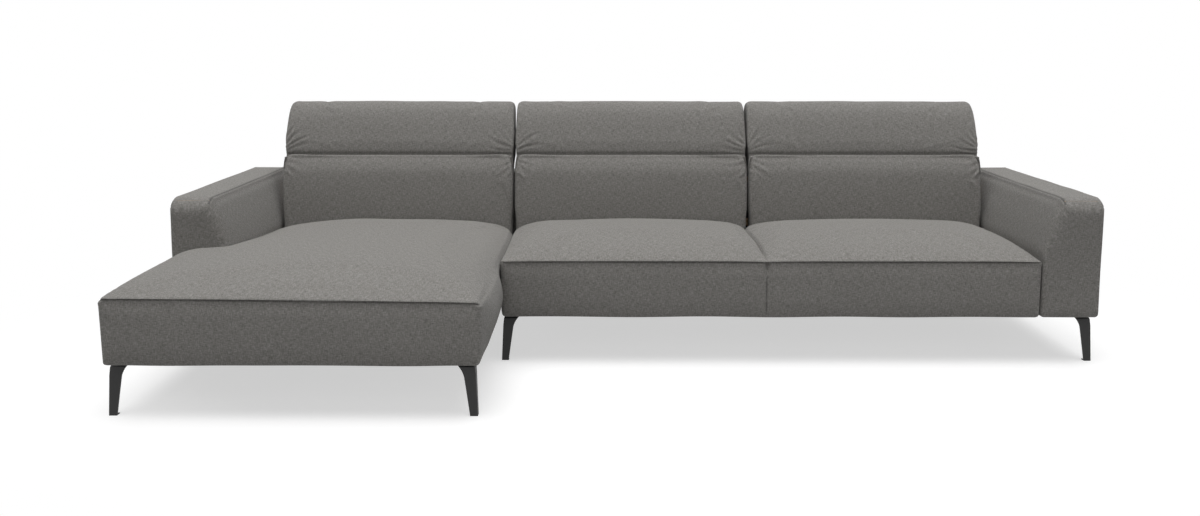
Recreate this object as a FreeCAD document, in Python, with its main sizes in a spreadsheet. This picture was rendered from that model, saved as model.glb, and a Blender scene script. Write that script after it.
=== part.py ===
"""Sectional sofa with a chaise on the left, in millimetres.

+X points to the right, +Y to the rear and +Z up. The origin is on the floor, under the middle of
the whole sofa. A chaise module and a two-place sofa module stand side by side on metal legs. Three
back cushions carry headrests that fold backwards on ratchet hinges.
"""
import FreeCAD, Part
import math
import os
from FreeCAD import Placement, Rotation, Vector

doc = FreeCAD.newDocument("sectional_sofa")
sheet = doc.addObject("Spreadsheet::Sheet", "dims")

DRIVING_DIMENSIONS = {
    # whole sofa
    "overall_width": 3200,
    "overall_depth": 1620,
    "sofa_depth": 1000,
    "chaise_width": 1130,
    "half_gap": 0.5,
    # base
    "leg_height": 166,
    "cloth": 2,
    "rail_height": 117,
    "rail_thick": 25,
    "block_thick": 25,
    "padding": 10,
    # seats
    "seam_height": 361,
    "seam_tilt": 8,
    "crown_rise": 76,
    "front_roll": 95,
    "back_drop": 30,
    "seat_rear": 455,
    "groove_x": 450,
    "side_draw": 9,
    # arms
    "arm_width": 200,
    "arm_top_width": 140,
    "arm_height": 580,
    "arm_front_round": 60,
    # backs
    "back_gap": 7,
    "back_bottom": 290,
    "back_front": 462,
    "lean": 17,
    "shell_height": 575,
    "shell_thick": 25,
    "ledge_front": 650,
    # headrests
    "hinge_y": 631,
    "hinge_z": 625,
    "hinge_spread": 300,
    "head_lean": 24,
    "head_front": 95,
    "head_rear": 35,
    "head_height": 250,
    "knuckle_gap": 3.5,
    "slot_reach": 42,
    "slot_width": 44,
    "pin_radius": 5,
    "pin_play": 0.05,
    # legs
    "leg_inset": 50,
    "plate_length": 137,
    "plate_thick": 6,
    "blade_thick": 7,
    "blade_top": 58,
    "blade_middle": 34,
    "blade_foot": 24,
    "leg_splay": 9,
    "glide_thick": 2,
}
for row, (alias, number) in enumerate(DRIVING_DIMENSIONS.items(), start=1):
    sheet.set(f"A{row}", str(number))
    sheet.setAlias(f"A{row}", alias)
doc.recompute()


def dim(alias):
    """A driving dimension, read from the sheet."""
    return float(sheet.get(alias))


# Planes and levels that many pieces share
LEFT = -dim("overall_width") / 2
RIGHT = dim("overall_width") / 2
FRONT = -dim("overall_depth") / 2
REAR = dim("overall_depth") / 2
STEP = REAR - dim("sofa_depth")
JOINT = LEFT + dim("chaise_width")
BASE = dim("leg_height")
RAIL_LOW = BASE + dim("cloth")
RAIL_TOP = RAIL_LOW + dim("rail_height")
ARM_LEFT = LEFT + dim("arm_width")
ARM_RIGHT = RIGHT - dim("arm_width")
GAP = dim("half_gap")
PAD = dim("padding")
FOAM_LOW = RAIL_TOP + 2 * dim("cloth")
LEAN = math.tan(math.radians(dim("lean")))
AXIS_Y = dim("hinge_y")
AXIS_Z = dim("hinge_z")

nodes = {}


def keep(thing, label):
    """Names a finished sub-part and lists it for export."""
    thing.Label = label
    nodes[label] = thing
    return thing


def shape_node(label, shape):
    """A sub-part whose shape is worked out here, from sizes in the sheet."""
    thing = doc.addObject("Part::Feature", label)
    thing.Shape = shape
    return keep(thing, label)


def box(low, high):
    """A plain box shape between two corners."""
    size = [b - a for a, b in zip(low, high)]
    return Part.makeBox(*size, Vector(*low))


def board(label, low, high, rules=None):
    """A rectangular board. Rules bind a size to the sheet, by property name."""
    thing = doc.addObject("Part::Box", label)
    thing.Length, thing.Width, thing.Height = [b - a for a, b in zip(low, high)]
    thing.Placement.Base = Vector(*low)
    for name, rule in (rules or {}).items():
        thing.setExpression(name, rule)
    return keep(thing, label)


RAIL_RULES = {"Height": "dims.rail_height", "Placement.Base.z": "dims.leg_height + dims.cloth"}
ALONG_X = dict(RAIL_RULES, Width="dims.rail_thick")
ALONG_Y = dict(RAIL_RULES, Length="dims.rail_thick")


def outline(start, steps):
    """A closed wire from start. A step is a point, or a pair (point on an arc, its end)."""
    edges = []
    here = start
    for step in list(steps) + [start]:
        if isinstance(step, tuple):
            through, there = step
            edges.append(Part.Arc(here, through, there).toShape())
        else:
            there = step
            if there.distanceToPoint(here) < 1e-6:
                continue
            edges.append(Part.LineSegment(here, there).toShape())
        here = there
    return Part.Wire(edges)


def prism(wire, along):
    """The solid that a closed flat wire sweeps along a vector."""
    return Part.Face(wire).extrude(along)


def in_yz(x, points):
    """A closed straight-sided outline in the plane across the sofa at x."""
    corners = [Vector(x, y, z) for y, z in points]
    return outline(corners[0], corners[1:])


def in_xy(z, points):
    """A closed straight-sided outline in a level plane at z."""
    corners = [Vector(x, y, z) for x, y in points]
    return outline(corners[0], corners[1:])


def in_xz(y, points):
    """A closed straight-sided outline in the plane along the sofa at y."""
    corners = [Vector(x, y, z) for x, z in points]
    return outline(corners[0], corners[1:])


def sketch_on(body, role, name, points):
    """A closed sketch of lines and arcs on one of a body's own origin planes."""
    sketch = body.newObject("Sketcher::SketchObject", name)
    plane = [f for f in body.Origin.OriginFeatures if f.Role == role][0]
    sketch.AttachmentSupport = [(plane, "")]
    sketch.MapMode = "FlatFace"
    here = Vector(*points[0], 0)
    for step in list(points[1:]) + [points[0]]:
        if isinstance(step[0], tuple):
            through, there = [Vector(*p, 0) for p in step]
            sketch.addGeometry(Part.Arc(here, through, there), False)
        else:
            there = Vector(*step, 0)
            if there.distanceToPoint(here) < 1e-6:
                continue
            sketch.addGeometry(Part.LineSegment(here, there), False)
        here = there
    return sketch


def padded_body(name, role, points, length_rule, reverse=False):
    """A body padded from one closed sketch, by a length that is bound to the sheet."""
    body = doc.addObject("PartDesign::Body", name)
    sketch = sketch_on(body, role, f"{name}_outline", points)
    pad = body.newObject("PartDesign::Pad", f"{name}_pad")
    pad.Profile = sketch
    pad.setExpression("Length", length_rule)
    pad.Reversed = reverse
    return body


def boolean(kind, name, pieces):
    """A boolean of document objects: MultiCommon or MultiFuse of all, or the first cut by the second."""
    thing = doc.addObject(f"Part::{kind}", name)
    if kind == "Cut":
        thing.Base, thing.Tool = pieces
    else:
        thing.Shapes = pieces
    doc.recompute()
    return thing


# Seats

def seat_top(y, front, rise):
    """The height of a seat's crown above its seam, at a distance behind its front."""
    behind = y - front
    run = dim("seat_rear") - front
    first_rise = 3
    roll = first_rise + rise * (1 - math.exp(-behind / dim("front_roll")))
    settle = dim("back_drop") * max(0, behind / run - 0.35) ** 1.5 / 0.65 ** 1.5
    return roll - settle


def seat_section(y, front, left, right, seam_left, seam_right, shoulders):
    """One crosswise section of a seat cover: flat below, drawn-in sides, a crowned top.

    Shoulders are two pairs (width, share of the crown's height), left then right.
    """
    corner = 12
    depth = y - front
    tuck = corner * max(0, 1 - depth / 16) ** 2
    draw = dim("side_draw")
    left, right = left + tuck, right - tuck
    crown = seat_top(y, front, dim("crown_rise"))
    (wide_left, share_left), (wide_right, share_right) = shoulders
    seam_middle = (seam_left + seam_right) / 2

    def at(x, z):
        return Vector(x, y, z)

    right_shoulder = at(right - wide_right, seam_right + crown * share_right)
    left_shoulder = at(left + wide_left, seam_left + crown * share_left)
    top = at((left_shoulder.x + right_shoulder.x) / 2, seam_middle + crown)
    bulge = 0.72
    right_roll = at(right - 0.38 * wide_right, seam_right + crown * share_right * bulge)
    left_roll = at(left + 0.38 * wide_left, seam_left + crown * share_left * bulge)
    return outline(
        at(left + draw + corner, BASE),
        [
            at(right - draw - corner, BASE),
            at(right - draw, BASE + corner),
            at(right, seam_right),
            right_roll,
            right_shoulder,
            (top, left_shoulder),
            left_roll,
            at(left, seam_left),
            at(left + draw, BASE + corner),
        ],
    )


def seat_stations(front):
    """Where a seat's sections stand: close together at the rounded front, then far apart."""
    rear = dim("seat_rear")
    near = [front + step for step in (0, 6, 40, 110)]
    far = [front + 110 + (rear - front - 110) * part for part in (0.28, 0.64, 1.0)]
    return near + far


def flat_sided(rings):
    """A solid between rings of corners, lowest first, with flat faces from ring to ring."""
    faces = [Part.Face(outline(ring[0], ring[1:])) for ring in (rings[0], rings[-1])]
    for below, above in zip(rings, rings[1:]):
        for here in range(len(below)):
            there = (here + 1) % len(below)
            faces.append(Part.Face(outline(below[here], [below[there], above[there], above[here]])))
    return Part.makeSolid(Part.makeShell(faces))


def foam_block(front, left, right, low):
    """A seat's foam: an upright block under a hipped top that follows the crown."""
    rear = dim("seat_rear") - PAD
    eaves = dim("seam_height") - 22
    ridge = eaves + 44
    side_slope, front_slope, rear_slope = 190, 70, 260

    def ring(z, side, at_front, at_rear):
        corners = [
            (left + side, front + at_front),
            (right - side, front + at_front),
            (right - side, rear - at_rear),
            (left + side, rear - at_rear),
        ]
        return [Vector(x, y, z) for x, y in corners]

    upright = [ring(low, 0, 0, 0), ring(eaves, 0, 0, 0)]
    return flat_sided(upright + [ring(ridge, side_slope, front_slope, rear_slope)])


def chaise_seat():
    """The chaise's seat cover and foam. The cover wraps round the arm's front corner."""
    front, left, right = FRONT, LEFT, JOINT - GAP
    tilt = dim("seam_tilt")
    seam_left = dim("seam_height") + tilt
    seam_right = dim("seam_height") - tilt / 2
    sections = []
    for y in seat_stations(front):
        past_arm = min(max(0, (y - STEP) / (dim("seat_rear") - STEP)), 1)
        share_left = 0.66 - 0.75 * past_arm
        share_right = 0.5 - 0.35 * past_arm
        shoulders = ((dim("arm_width"), share_left), (60, share_right))
        sections.append(seat_section(y, front, left, right, seam_left, seam_right, shoulders))
    outer = Part.makeLoft(sections, True, True)
    beside_arm = box((left - 1, STEP - GAP, BASE - 1), (ARM_LEFT + GAP, REAR, 600))
    outer = outer.cut(beside_arm)

    inner_left, inner_right = left + PAD + dim("side_draw"), right - PAD - dim("side_draw")
    inner_front = front + PAD
    arm_side = ARM_LEFT + GAP + PAD
    step_side = STEP - GAP - PAD
    rear = dim("seat_rear") - PAD
    base_room = box((inner_left, inner_front + 2, BASE - 1), (inner_right, rear, FOAM_LOW))
    base_room = base_room.fuse(box((arm_side, STEP, BASE - 1), (inner_right, rear + 2 * PAD, FOAM_LOW)))
    foam = foam_block(inner_front + 2, inner_left, inner_right, FOAM_LOW)
    arm_corner = box((left - 1, step_side, BASE - 2), (arm_side, REAR, 600))
    base_room = base_room.cut(arm_corner)
    foam = foam.cut(arm_corner).removeSplitter()
    cover = outer.cut(base_room.fuse(foam)).removeSplitter()
    shape_node("chaise_seat_cover", cover)
    shape_node("chaise_seat_foam", foam)


def sofa_seat():
    """The two-place seat: one cover over two crowned places, with a groove between them."""
    front, left, right = STEP, JOINT + GAP, ARM_RIGHT - GAP
    groove = dim("groove_x")
    seam = dim("seam_height")
    halves = []
    for low, high in ((left, groove), (groove, right)):
        sections = []
        for y in seat_stations(front):
            past = (y - front) / (dim("seat_rear") - front)
            edge = (110, 0.72 - 0.3 * past)
            sections.append(sofa_section(y, front, low, high, seam, edge, high == groove))
        halves.append(Part.makeLoft(sections, True, True))
    outer = halves[0].fuse(halves[1]).removeSplitter()
    notch = in_xy(seam + 2, [(groove - 7, front - 1), (groove + 7, front - 1), (groove, front + 12)])
    tip = in_xy(seam - 55, [(groove - 0.5, front - 1), (groove + 0.5, front - 1), (groove, front - 0.2)])
    outer = outer.cut(Part.makeLoft([notch, tip], True, True))

    rear = dim("seat_rear") - PAD
    inner_left = left + PAD + 3
    inner_right = right - PAD
    inner_front = front + PAD + 2
    room = box((inner_left, inner_front, BASE - 1), (inner_right, rear + 2 * PAD, FOAM_LOW))
    foams = []
    for low, high in ((inner_left, groove - PAD), (groove + PAD, inner_right)):
        foams.append(foam_block(inner_front, low, high, FOAM_LOW))
    cover = outer.cut([room] + foams).removeSplitter()
    shape_node("sofa_seat_cover", cover)
    shape_node("sofa_seat_foam_left", foams[0])
    shape_node("sofa_seat_foam_right", foams[1])


def sofa_section(y, front, left, right, seam, edge, is_left_place):
    """One section of half the two-place seat, upright at the groove and drawn in outside."""
    corner = 12
    tuck = 8 * max(0, 1 - (y - front) / 14) ** 2
    outer_draw = 3
    wide, share = edge
    crown = seat_top(y, front, dim("crown_rise"))
    groove_share = 0.15

    def at(x, z):
        return Vector(x, y, z)

    if is_left_place:
        left += tuck
        low_left, low_right = left + outer_draw, right
    else:
        right -= tuck
        low_left, low_right = left, right - outer_draw
    right_share = groove_share if is_left_place else share * 0.5
    left_share = share * 0.5 if is_left_place else groove_share
    right_shoulder = at(right - wide, seam + crown * share)
    left_shoulder = at(left + wide, seam + crown * share)
    right_roll = at(right - 0.35 * wide, seam + crown * (share + right_share) * 0.56)
    left_roll = at(left + 0.35 * wide, seam + crown * (share + left_share) * 0.56)
    return outline(
        at(low_left + corner, BASE),
        [
            at(low_right - corner, BASE),
            at(low_right, BASE + corner),
            at(right, seam),
            right_roll,
            right_shoulder,
            (at((left + right) / 2, seam + crown), left_shoulder),
            left_roll,
            at(left, seam),
            at(low_left, BASE + corner),
        ],
    )


# Arms

def arm_profile_across():
    """The right arm's section: an upright outer face and an inner face that flares to the seat."""
    outer_face, inner_face = RIGHT, ARM_RIGHT
    inner_top = RIGHT - dim("arm_top_width")
    top = dim("arm_height")
    corner = 12
    small = corner * (1 - math.cos(math.pi / 4))
    return [
        (inner_face + corner, BASE),
        (outer_face - corner, BASE),
        ((outer_face - small, BASE + small), (outer_face, BASE + corner)),
        (outer_face, top - corner),
        ((outer_face - small, top - small), (outer_face - corner, top)),
        (inner_top + corner, top),
        ((inner_top + 2, top - 4), (inner_top - 3, top - 15)),
        ((inner_face + 19, top - 105), (inner_face, 395)),
        (inner_face, BASE + corner),
        ((inner_face + small, BASE + small), (inner_face + corner, BASE)),
    ]


def arm_profile_along():
    """An arm seen from its side, as (Y, Z): a rounded front top and small rounds elsewhere."""
    top = dim("arm_height")
    corner = 12
    small = corner * (1 - math.cos(math.pi / 4))
    front_round = dim("arm_front_round")
    large = front_round * (1 - math.cos(math.pi / 4))
    return [
        (STEP + corner, BASE),
        (REAR - corner, BASE),
        ((REAR - small, BASE + small), (REAR, BASE + corner)),
        (REAR, top - corner),
        ((REAR - small, top - small), (REAR - corner, top)),
        (STEP + front_round, top),
        ((STEP + large, top - large), (STEP, top - front_round)),
        (STEP, BASE + corner),
        ((STEP + small, BASE + small), (STEP + corner, BASE)),
    ]


def arm_room():
    """The space for the frame inside the right arm, as corners in X and Z, from its floor up."""
    inner = ARM_RIGHT + PAD
    outer = RIGHT - PAD
    top_inner = RIGHT - dim("arm_top_width") + PAD
    top = dim("arm_height") - PAD
    flare_top, flare_foot = 490, 385
    return [
        (inner, BASE - 1),
        (outer, BASE - 1),
        (outer, top),
        (top_inner, top),
        (top_inner, flare_top),
        (inner, flare_foot),
    ]


ARM_ROOM_FRONT = STEP + 26
ARM_ROOM_REAR = REAR - PAD


def arm_cover():
    """The right arm's cover: two crossed profiles, hollowed for the frame."""
    across = padded_body("arm_across", "XZ_Plane", arm_profile_across(), "dims.sofa_depth", True)
    across.setExpression("Placement.Base.y", "dims.overall_depth / 2 - dims.sofa_depth")
    along = padded_body("arm_along", "YZ_Plane", arm_profile_along(), "dims.arm_width + 2")
    along.setExpression("Placement.Base.x", "dims.overall_width / 2 - dims.arm_width - 1")
    length = "dims.sofa_depth - 26 - dims.padding"
    room = padded_body("arm_room", "XZ_Plane", arm_room(), length, True)
    room.Placement.Base = Vector(0, ARM_ROOM_FRONT, 0)
    solid = boolean("MultiCommon", "arm_solid", [across, along])
    return boolean("Cut", "right_arm_cover", [solid, room])


def arm_frame_pieces():
    """The right arm's timber: floor board, windowed side panel, cap board and three ribs."""
    sheet_wood = 15
    points = arm_room()
    inner, outer, top, cap_inner = points[0][0], points[1][0], points[2][1], points[3][0]
    front, rear = ARM_ROOM_FRONT, ARM_ROOM_REAR
    floor_top = RAIL_LOW + dim("block_thick")
    side_high = top - sheet_wood
    floor_board = box((inner, front, RAIL_LOW), (outer, rear, floor_top))
    panel = box((outer - sheet_wood, front, floor_top), (outer, rear, side_high))
    for window_front in (front + 90, front + 515):
        window = in_yz(outer - sheet_wood - 1, [
            (window_front, floor_top + 60),
            (window_front + 330, floor_top + 60),
            (window_front + 330, side_high - 70),
            (window_front + 40, side_high - 70),
            (window_front, side_high - 110),
        ])
        panel = panel.cut(prism(window, Vector(sheet_wood + 2, 0, 0)))
    cap = box((cap_inner, front, side_high), (outer, rear, top))
    rib_points = [
        (inner, floor_top),
        (outer - sheet_wood, floor_top),
        (outer - sheet_wood, side_high),
        (cap_inner, side_high),
        points[4],
        points[5],
    ]
    hole_points = [
        (inner + 45, 240),
        (outer - 60, 240),
        (outer - 60, 400),
        (outer - 75, 415),
        (inner + 60, 340),
    ]
    ribs = []
    for rib_y in (front, (front + rear) / 2, rear - 18):
        rib = prism(in_xz(rib_y, rib_points), Vector(0, 18, 0))
        ribs.append(rib.cut(prism(in_xz(rib_y - 1, hole_points), Vector(0, 20, 0))))
    return [floor_board, panel, cap] + ribs


def mirrored(label, source):
    """The same sub-part on the sofa's other side."""
    thing = doc.addObject("Part::Mirroring", label)
    thing.Source = source
    thing.Normal = Vector(1, 0, 0)
    return keep(thing, label)


def arms():
    """Both arms. The left one is the right one mirrored."""
    cover = keep(arm_cover(), "right_arm_cover")
    frame = shape_node("right_arm_frame", Part.makeCompound(arm_frame_pieces()))
    mirrored("left_arm_cover", cover)
    mirrored("left_arm_frame", frame)


# Back cushions

BACKS = {
    "chaise": (ARM_LEFT + 5, JOINT - dim("back_gap") / 2),
    "middle": (JOINT + dim("back_gap") / 2, 465 - dim("back_gap") / 2),
    "right": (465 + dim("back_gap") / 2, ARM_RIGHT - 5),
}


# The upper rear edge of a back cushion
CUSHION_REAR = 602
CUSHION_TOP = 546.7


def about_hinge(x, angle, radius):
    """A point at an angle and radius about the headrest's axis, 0 degrees to the rear."""
    turn = math.radians(angle)
    return Vector(x, AXIS_Y + radius * math.cos(turn), AXIS_Z + radius * math.sin(turn))


def back_section(x, draw):
    """One upright section of a back cushion. Draw pulls its front and lower edge in."""
    front = dim("back_front")
    low = dim("back_bottom")
    rear_low = CUSHION_REAR - (CUSHION_TOP - low) * LEAN
    trough = dim("head_front") + dim("knuckle_gap")
    knee_z = 395
    lip = about_hinge(x, 157.5, trough)
    lip_front = Vector(x, lip.y - 8 + 0.1 * draw, lip.z - 11)
    knee = Vector(x, front + draw, knee_z)
    middle = Vector(x, (knee.y + lip_front.y) / 2 - 15 + 0.55 * draw, (knee.z + lip_front.z) / 2 + 4)
    return outline(
        Vector(x, front + 4 + draw, low + 0.6 * draw),
        [
            Vector(x, rear_low, low + 0.6 * draw),
            Vector(x, CUSHION_REAR, CUSHION_TOP),
            about_hinge(x, 233, trough),
            (about_hinge(x, 195, trough), lip),
            (Vector(x, lip.y - 5.5, lip.z - 3), lip_front),
            (middle, knee),
            (Vector(x, front - 3 + draw, (knee_z + low) / 2), Vector(x, front + 4 + draw, low + 0.6 * draw)),
        ],
    )


def edge_stations(low, high, steps):
    """Sections across a cushion: a few close to each end, and the middle."""
    near = [(low + step, draw) for step, draw in steps]
    far = [(high - step, draw) for step, draw in reversed(steps)]
    return near + [((low + high) / 2, 0)] + far


def back_cushions():
    """Three back cushions, drawn in at their ends and hollowed under the headrests."""
    steps = ((0, 24), (14, 5))
    for name, (low, high) in BACKS.items():
        sections = [back_section(x, draw) for x, draw in edge_stations(low, high, steps)]
        shape_node(f"{name}_back_cushion", Part.makeLoft(sections, True, True))


# Headrests

def leaning(x, up, back, scale=1.0):
    """A point in the headrest's own lean: up along it, and back from its axis."""
    turn = math.radians(dim("head_lean"))
    y = up * math.sin(turn) + back * math.cos(turn)
    z = up * math.cos(turn) - back * math.sin(turn)
    return Vector(x, AXIS_Y + scale * y, AXIS_Z + scale * z)


def headrest_section(x, scale):
    """One upright section of a headrest, scaled about its hinge so that it turns freely."""
    front, rear, high = dim("head_front"), dim("head_rear"), dim("head_height")

    def at(up, back):
        return leaning(x, up, back, scale)

    def round_hinge(angle, radius):
        return about_hinge(x, angle, radius * scale)

    return outline(
        at(0, -front),
        [
            (at(high * 0.42, -front - 9), at(high - 52, -front + 6)),
            (at(high - 16, -front + 22), at(high, -front + 62)),
            (at(high - 6, rear - 20), at(high - 38, rear)),
            at(0, rear),
            (round_hinge(283.5, rear), round_hinge(231, rear)),
            round_hinge(231, front),
            (round_hinge(193.5, front), at(0, -front)),
        ],
    )


def headrest_solid(low, high):
    """The whole outer form of one headrest."""
    steps = ((0, 0.88), (18, 1.0))
    near = [headrest_section(low + step, scale) for step, scale in steps]
    far = [headrest_section(high - step, scale) for step, scale in reversed(steps)]
    return Part.makeLoft(near + far, True, True)


def leaning_box(x_low, x_high, up_low, up_high, back_low, back_high):
    """A box that leans with the headrest."""
    corners = [(up_low, back_low), (up_low, back_high), (up_high, back_high), (up_high, back_low)]
    points = [leaning(x_low, up, back) for up, back in corners]
    return prism(outline(points[0], points[1:]), Vector(x_high - x_low, 0, 0))


BOARD_BACK = (8, 20)
BOARD_UP = (48, 195)
BOARD_MARGIN = 70
ARM_THICK = 6
FLANGE_THICK = 3
FLANGE_UP = (52, 112)
FLANGE_HALF = 17
STEM_BACK = (-13, 5)


def hinge_slot(x_low, x_high):
    """The eight-sided slot in a headrest that clears the hinge's eye and cheeks."""
    reach = dim("slot_reach") / math.cos(math.radians(22.5))
    corners = [about_hinge(x_low, 22.5 + 45 * side, reach) for side in range(8)]
    return prism(outline(corners[0], corners[1:]), Vector(x_high - x_low, 0, 0))


def hinge_places(low, high):
    """Where a headrest's two hinges stand."""
    middle = (low + high) / 2
    return [middle - dim("hinge_spread"), middle + dim("hinge_spread")]


def toothed_eye(x_low, thick):
    """The eye of a moving arm: round, with ratchet teeth where the pawl rides."""
    radius, depth = 24, 3
    teeth, first_tooth, tooth_step = 8, 236, 9.5
    points = []
    for tooth in range(teeth):
        angle = first_tooth + tooth * tooth_step
        points.append(about_hinge(x_low, angle, radius - depth))
        points.append(about_hinge(x_low, angle + 1.5, radius))
        points.append(about_hinge(x_low, angle + 6, radius))
    last = first_tooth + teeth * tooth_step
    plain = 360 - teeth * tooth_step
    start = about_hinge(x_low, last, radius)
    half_way = about_hinge(x_low, last + plain / 2, radius)
    end = about_hinge(x_low, first_tooth - 0.01, radius)
    quarter = about_hinge(x_low, last + plain / 4, radius)
    three_quarters = about_hinge(x_low, last + plain * 3 / 4, radius)
    wire = outline(points[0], points[1:] + [start, (quarter, half_way), (three_quarters, end)])
    return prism(wire, Vector(thick, 0, 0))


def hinge_arm(x):
    """A moving hinge arm: a toothed eye, a stem and a flange screwed to the board."""
    half = ARM_THICK / 2
    face_back = BOARD_BACK[0]
    stem_points = [
        (4, STEM_BACK[0]),
        (4, face_back - FLANGE_THICK),
        (FLANGE_UP[1], face_back - FLANGE_THICK),
        (FLANGE_UP[1], -4),
        (66, -4),
        (50, STEM_BACK[0]),
    ]
    corners = [leaning(x - half, up, back) for up, back in stem_points]
    stem = prism(outline(corners[0], corners[1:]), Vector(ARM_THICK, 0, 0))
    flange = leaning_box(x - FLANGE_HALF, x + FLANGE_HALF, *FLANGE_UP, face_back - FLANGE_THICK, face_back)
    arm = toothed_eye(x - half, ARM_THICK).fuse([stem, flange]).removeSplitter()
    bore = dim("pin_radius") + dim("pin_play")
    return arm.cut(Part.makeCylinder(bore, 40, Vector(x - 20, AXIS_Y, AXIS_Z), Vector(1, 0, 0)))


CHEEK_THICK = 4
CHEEK_IN = 4
CHEEK_HALF = 17
BRACKET_BASE_Z = 560
BRACKET_BASE_THICK = 3


def hinge_bracket(x):
    """A fixed U bracket on the back rail, with two tapered cheeks that carry the pin."""
    base_top = BRACKET_BASE_Z + BRACKET_BASE_THICK
    base = box((x - 20, AXIS_Y - CHEEK_HALF, BRACKET_BASE_Z), (x + 20, AXIS_Y + CHEEK_HALF, base_top))
    crown = 12
    cheek_points = [
        (AXIS_Y - CHEEK_HALF, base_top),
        (AXIS_Y + CHEEK_HALF, base_top),
        (AXIS_Y + CHEEK_HALF, base_top + 18),
        (AXIS_Y + crown, AXIS_Z),
        (AXIS_Y + crown * 0.7, AXIS_Z + crown * 0.7),
        (AXIS_Y, AXIS_Z + crown),
        (AXIS_Y - crown * 0.7, AXIS_Z + crown * 0.7),
        (AXIS_Y - crown, AXIS_Z),
        (AXIS_Y - CHEEK_HALF, base_top + 26),
    ]
    cheeks = []
    for low in (x - CHEEK_IN - CHEEK_THICK, x + CHEEK_IN):
        cheeks.append(prism(in_yz(low, cheek_points), Vector(CHEEK_THICK, 0, 0)))
    bracket = base.fuse(cheeks).removeSplitter()
    return bracket.cut(hinge_pin(x))


def hinge_pawl(x):
    """A spring-leaf pawl on the bracket's base, with its nose just clear of the tooth tips."""
    half = 2.5
    base_top = BRACKET_BASE_Z + BRACKET_BASE_THICK
    nose = about_hinge(x, 248, 24.5)
    heel = about_hinge(x, 240, 25.5)
    points = [
        (AXIS_Y - 16, base_top),
        (AXIS_Y - 2, base_top),
        (AXIS_Y - 2, base_top + 1.5),
        (AXIS_Y - 12, base_top + 3),
        (nose.y, nose.z),
        (heel.y, heel.z),
        (AXIS_Y - 15, base_top + 5),
    ]
    return prism(in_yz(x - half, points), Vector(2 * half, 0, 0))


def hexagon_across(x, radius, thick):
    """A hexagonal prism about the hinge axis, starting at x."""
    corners = [about_hinge(x, 60 * side, radius) for side in range(6)]
    return prism(outline(corners[0], corners[1:]), Vector(thick, 0, 0))


def hinge_pin(x):
    """A hinge pin: a round journal, hexagonal shoulders keyed in both cheeks, and heads outside."""
    reach = CHEEK_IN + CHEEK_THICK
    head_radius, head_thick, key_radius = 8.5, 4, dim("pin_radius") + 1
    start = Vector(x - CHEEK_IN, AXIS_Y, AXIS_Z)
    journal = Part.makeCylinder(dim("pin_radius"), 2 * CHEEK_IN, start, Vector(1, 0, 0))
    keys = [hexagon_across(low, key_radius, CHEEK_THICK) for low in (x - reach, x + CHEEK_IN)]
    head = hexagon_across(x - reach - head_thick, head_radius, head_thick)
    nut = hexagon_across(x + reach, head_radius, head_thick)
    return journal.fuse(keys + [head, nut]).removeSplitter()


def headrests():
    """Headrest cushions with their boards, and a pair of ratchet hinges under each."""
    pins, pawls = [], []
    for name, (low, high) in BACKS.items():
        solid = headrest_solid(low, high)
        board_shape = leaning_box(low + BOARD_MARGIN, high - BOARD_MARGIN, *BOARD_UP, *BOARD_BACK)
        arms_here, brackets = [], []
        half = dim("slot_width") / 2
        hollows = [board_shape]
        for x in hinge_places(low, high):
            hollows.append(hinge_slot(x - half, x + half))
            stem_room = (10, FLANGE_UP[1] + 4, STEM_BACK[0] - 3, BOARD_BACK[0])
            hollows.append(leaning_box(x - half, x + half, *stem_room))
            arms_here.append(hinge_arm(x))
            brackets.append(hinge_bracket(x))
            pins.append(hinge_pin(x))
            pawls.append(hinge_pawl(x))
        shape_node(f"{name}_headrest_cushion", solid.cut(hollows).removeSplitter())
        shape_node(f"{name}_headrest_board", board_shape)
        shape_node(f"{name}_hinge_arms", Part.makeCompound(arms_here))
        shape_node(f"{name}_hinge_brackets", Part.makeCompound(brackets))
    shape_node("hinge_pins", Part.makeCompound(pins))
    shape_node("hinge_pawls", Part.makeCompound(pawls))


# Back frames and rear shells

POST_THICK = 30
TOP_RAIL_LOW = 490
POST_STANDOFF = 4


def post_front(z):
    """Where the front of a leaning back post is, at a height."""
    return CUSHION_REAR + POST_STANDOFF - (CUSHION_TOP - z) * LEAN


TOP_RAIL_FRONT, TOP_RAIL_REAR = 606, 642
LOW_RAIL_FRONT, LOW_RAIL_REAR, LOW_RAIL_HIGH = 558, 583, 60
BRACE_REAR, BRACE_TOP, BRACE_LOW = 784, 555, 430


def back_frame(label, low, high, post_places):
    """Leaning posts between the base and a level top rail, and a brace from the rail to the rear."""
    pieces = []
    brace = [
        (TOP_RAIL_REAR, BRACE_TOP),
        (TOP_RAIL_REAR, BRACE_TOP - 35),
        (BRACE_REAR - 24, BRACE_LOW),
        (BRACE_REAR, BRACE_LOW),
        (BRACE_REAR, BRACE_TOP),
    ]
    for x in post_places:
        post = in_yz(x - 30, [
            (post_front(RAIL_TOP), RAIL_TOP),
            (post_front(RAIL_TOP) + POST_THICK, RAIL_TOP),
            (post_front(TOP_RAIL_LOW) + POST_THICK, TOP_RAIL_LOW),
            (post_front(TOP_RAIL_LOW), TOP_RAIL_LOW),
        ])
        pieces.append(prism(post, Vector(60, 0, 0)))
        pieces.append(prism(in_yz(x - 12, brace), Vector(24, 0, 0)))
    top_rail = box((low, TOP_RAIL_FRONT, TOP_RAIL_LOW), (high, TOP_RAIL_REAR, BRACKET_BASE_Z))
    bottom_rail = box((low, LOW_RAIL_FRONT, RAIL_TOP), (high, LOW_RAIL_REAR, RAIL_TOP + LOW_RAIL_HIGH))
    pieces += [top_rail, bottom_rail]
    shape_node(label, Part.makeCompound(pieces))


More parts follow.
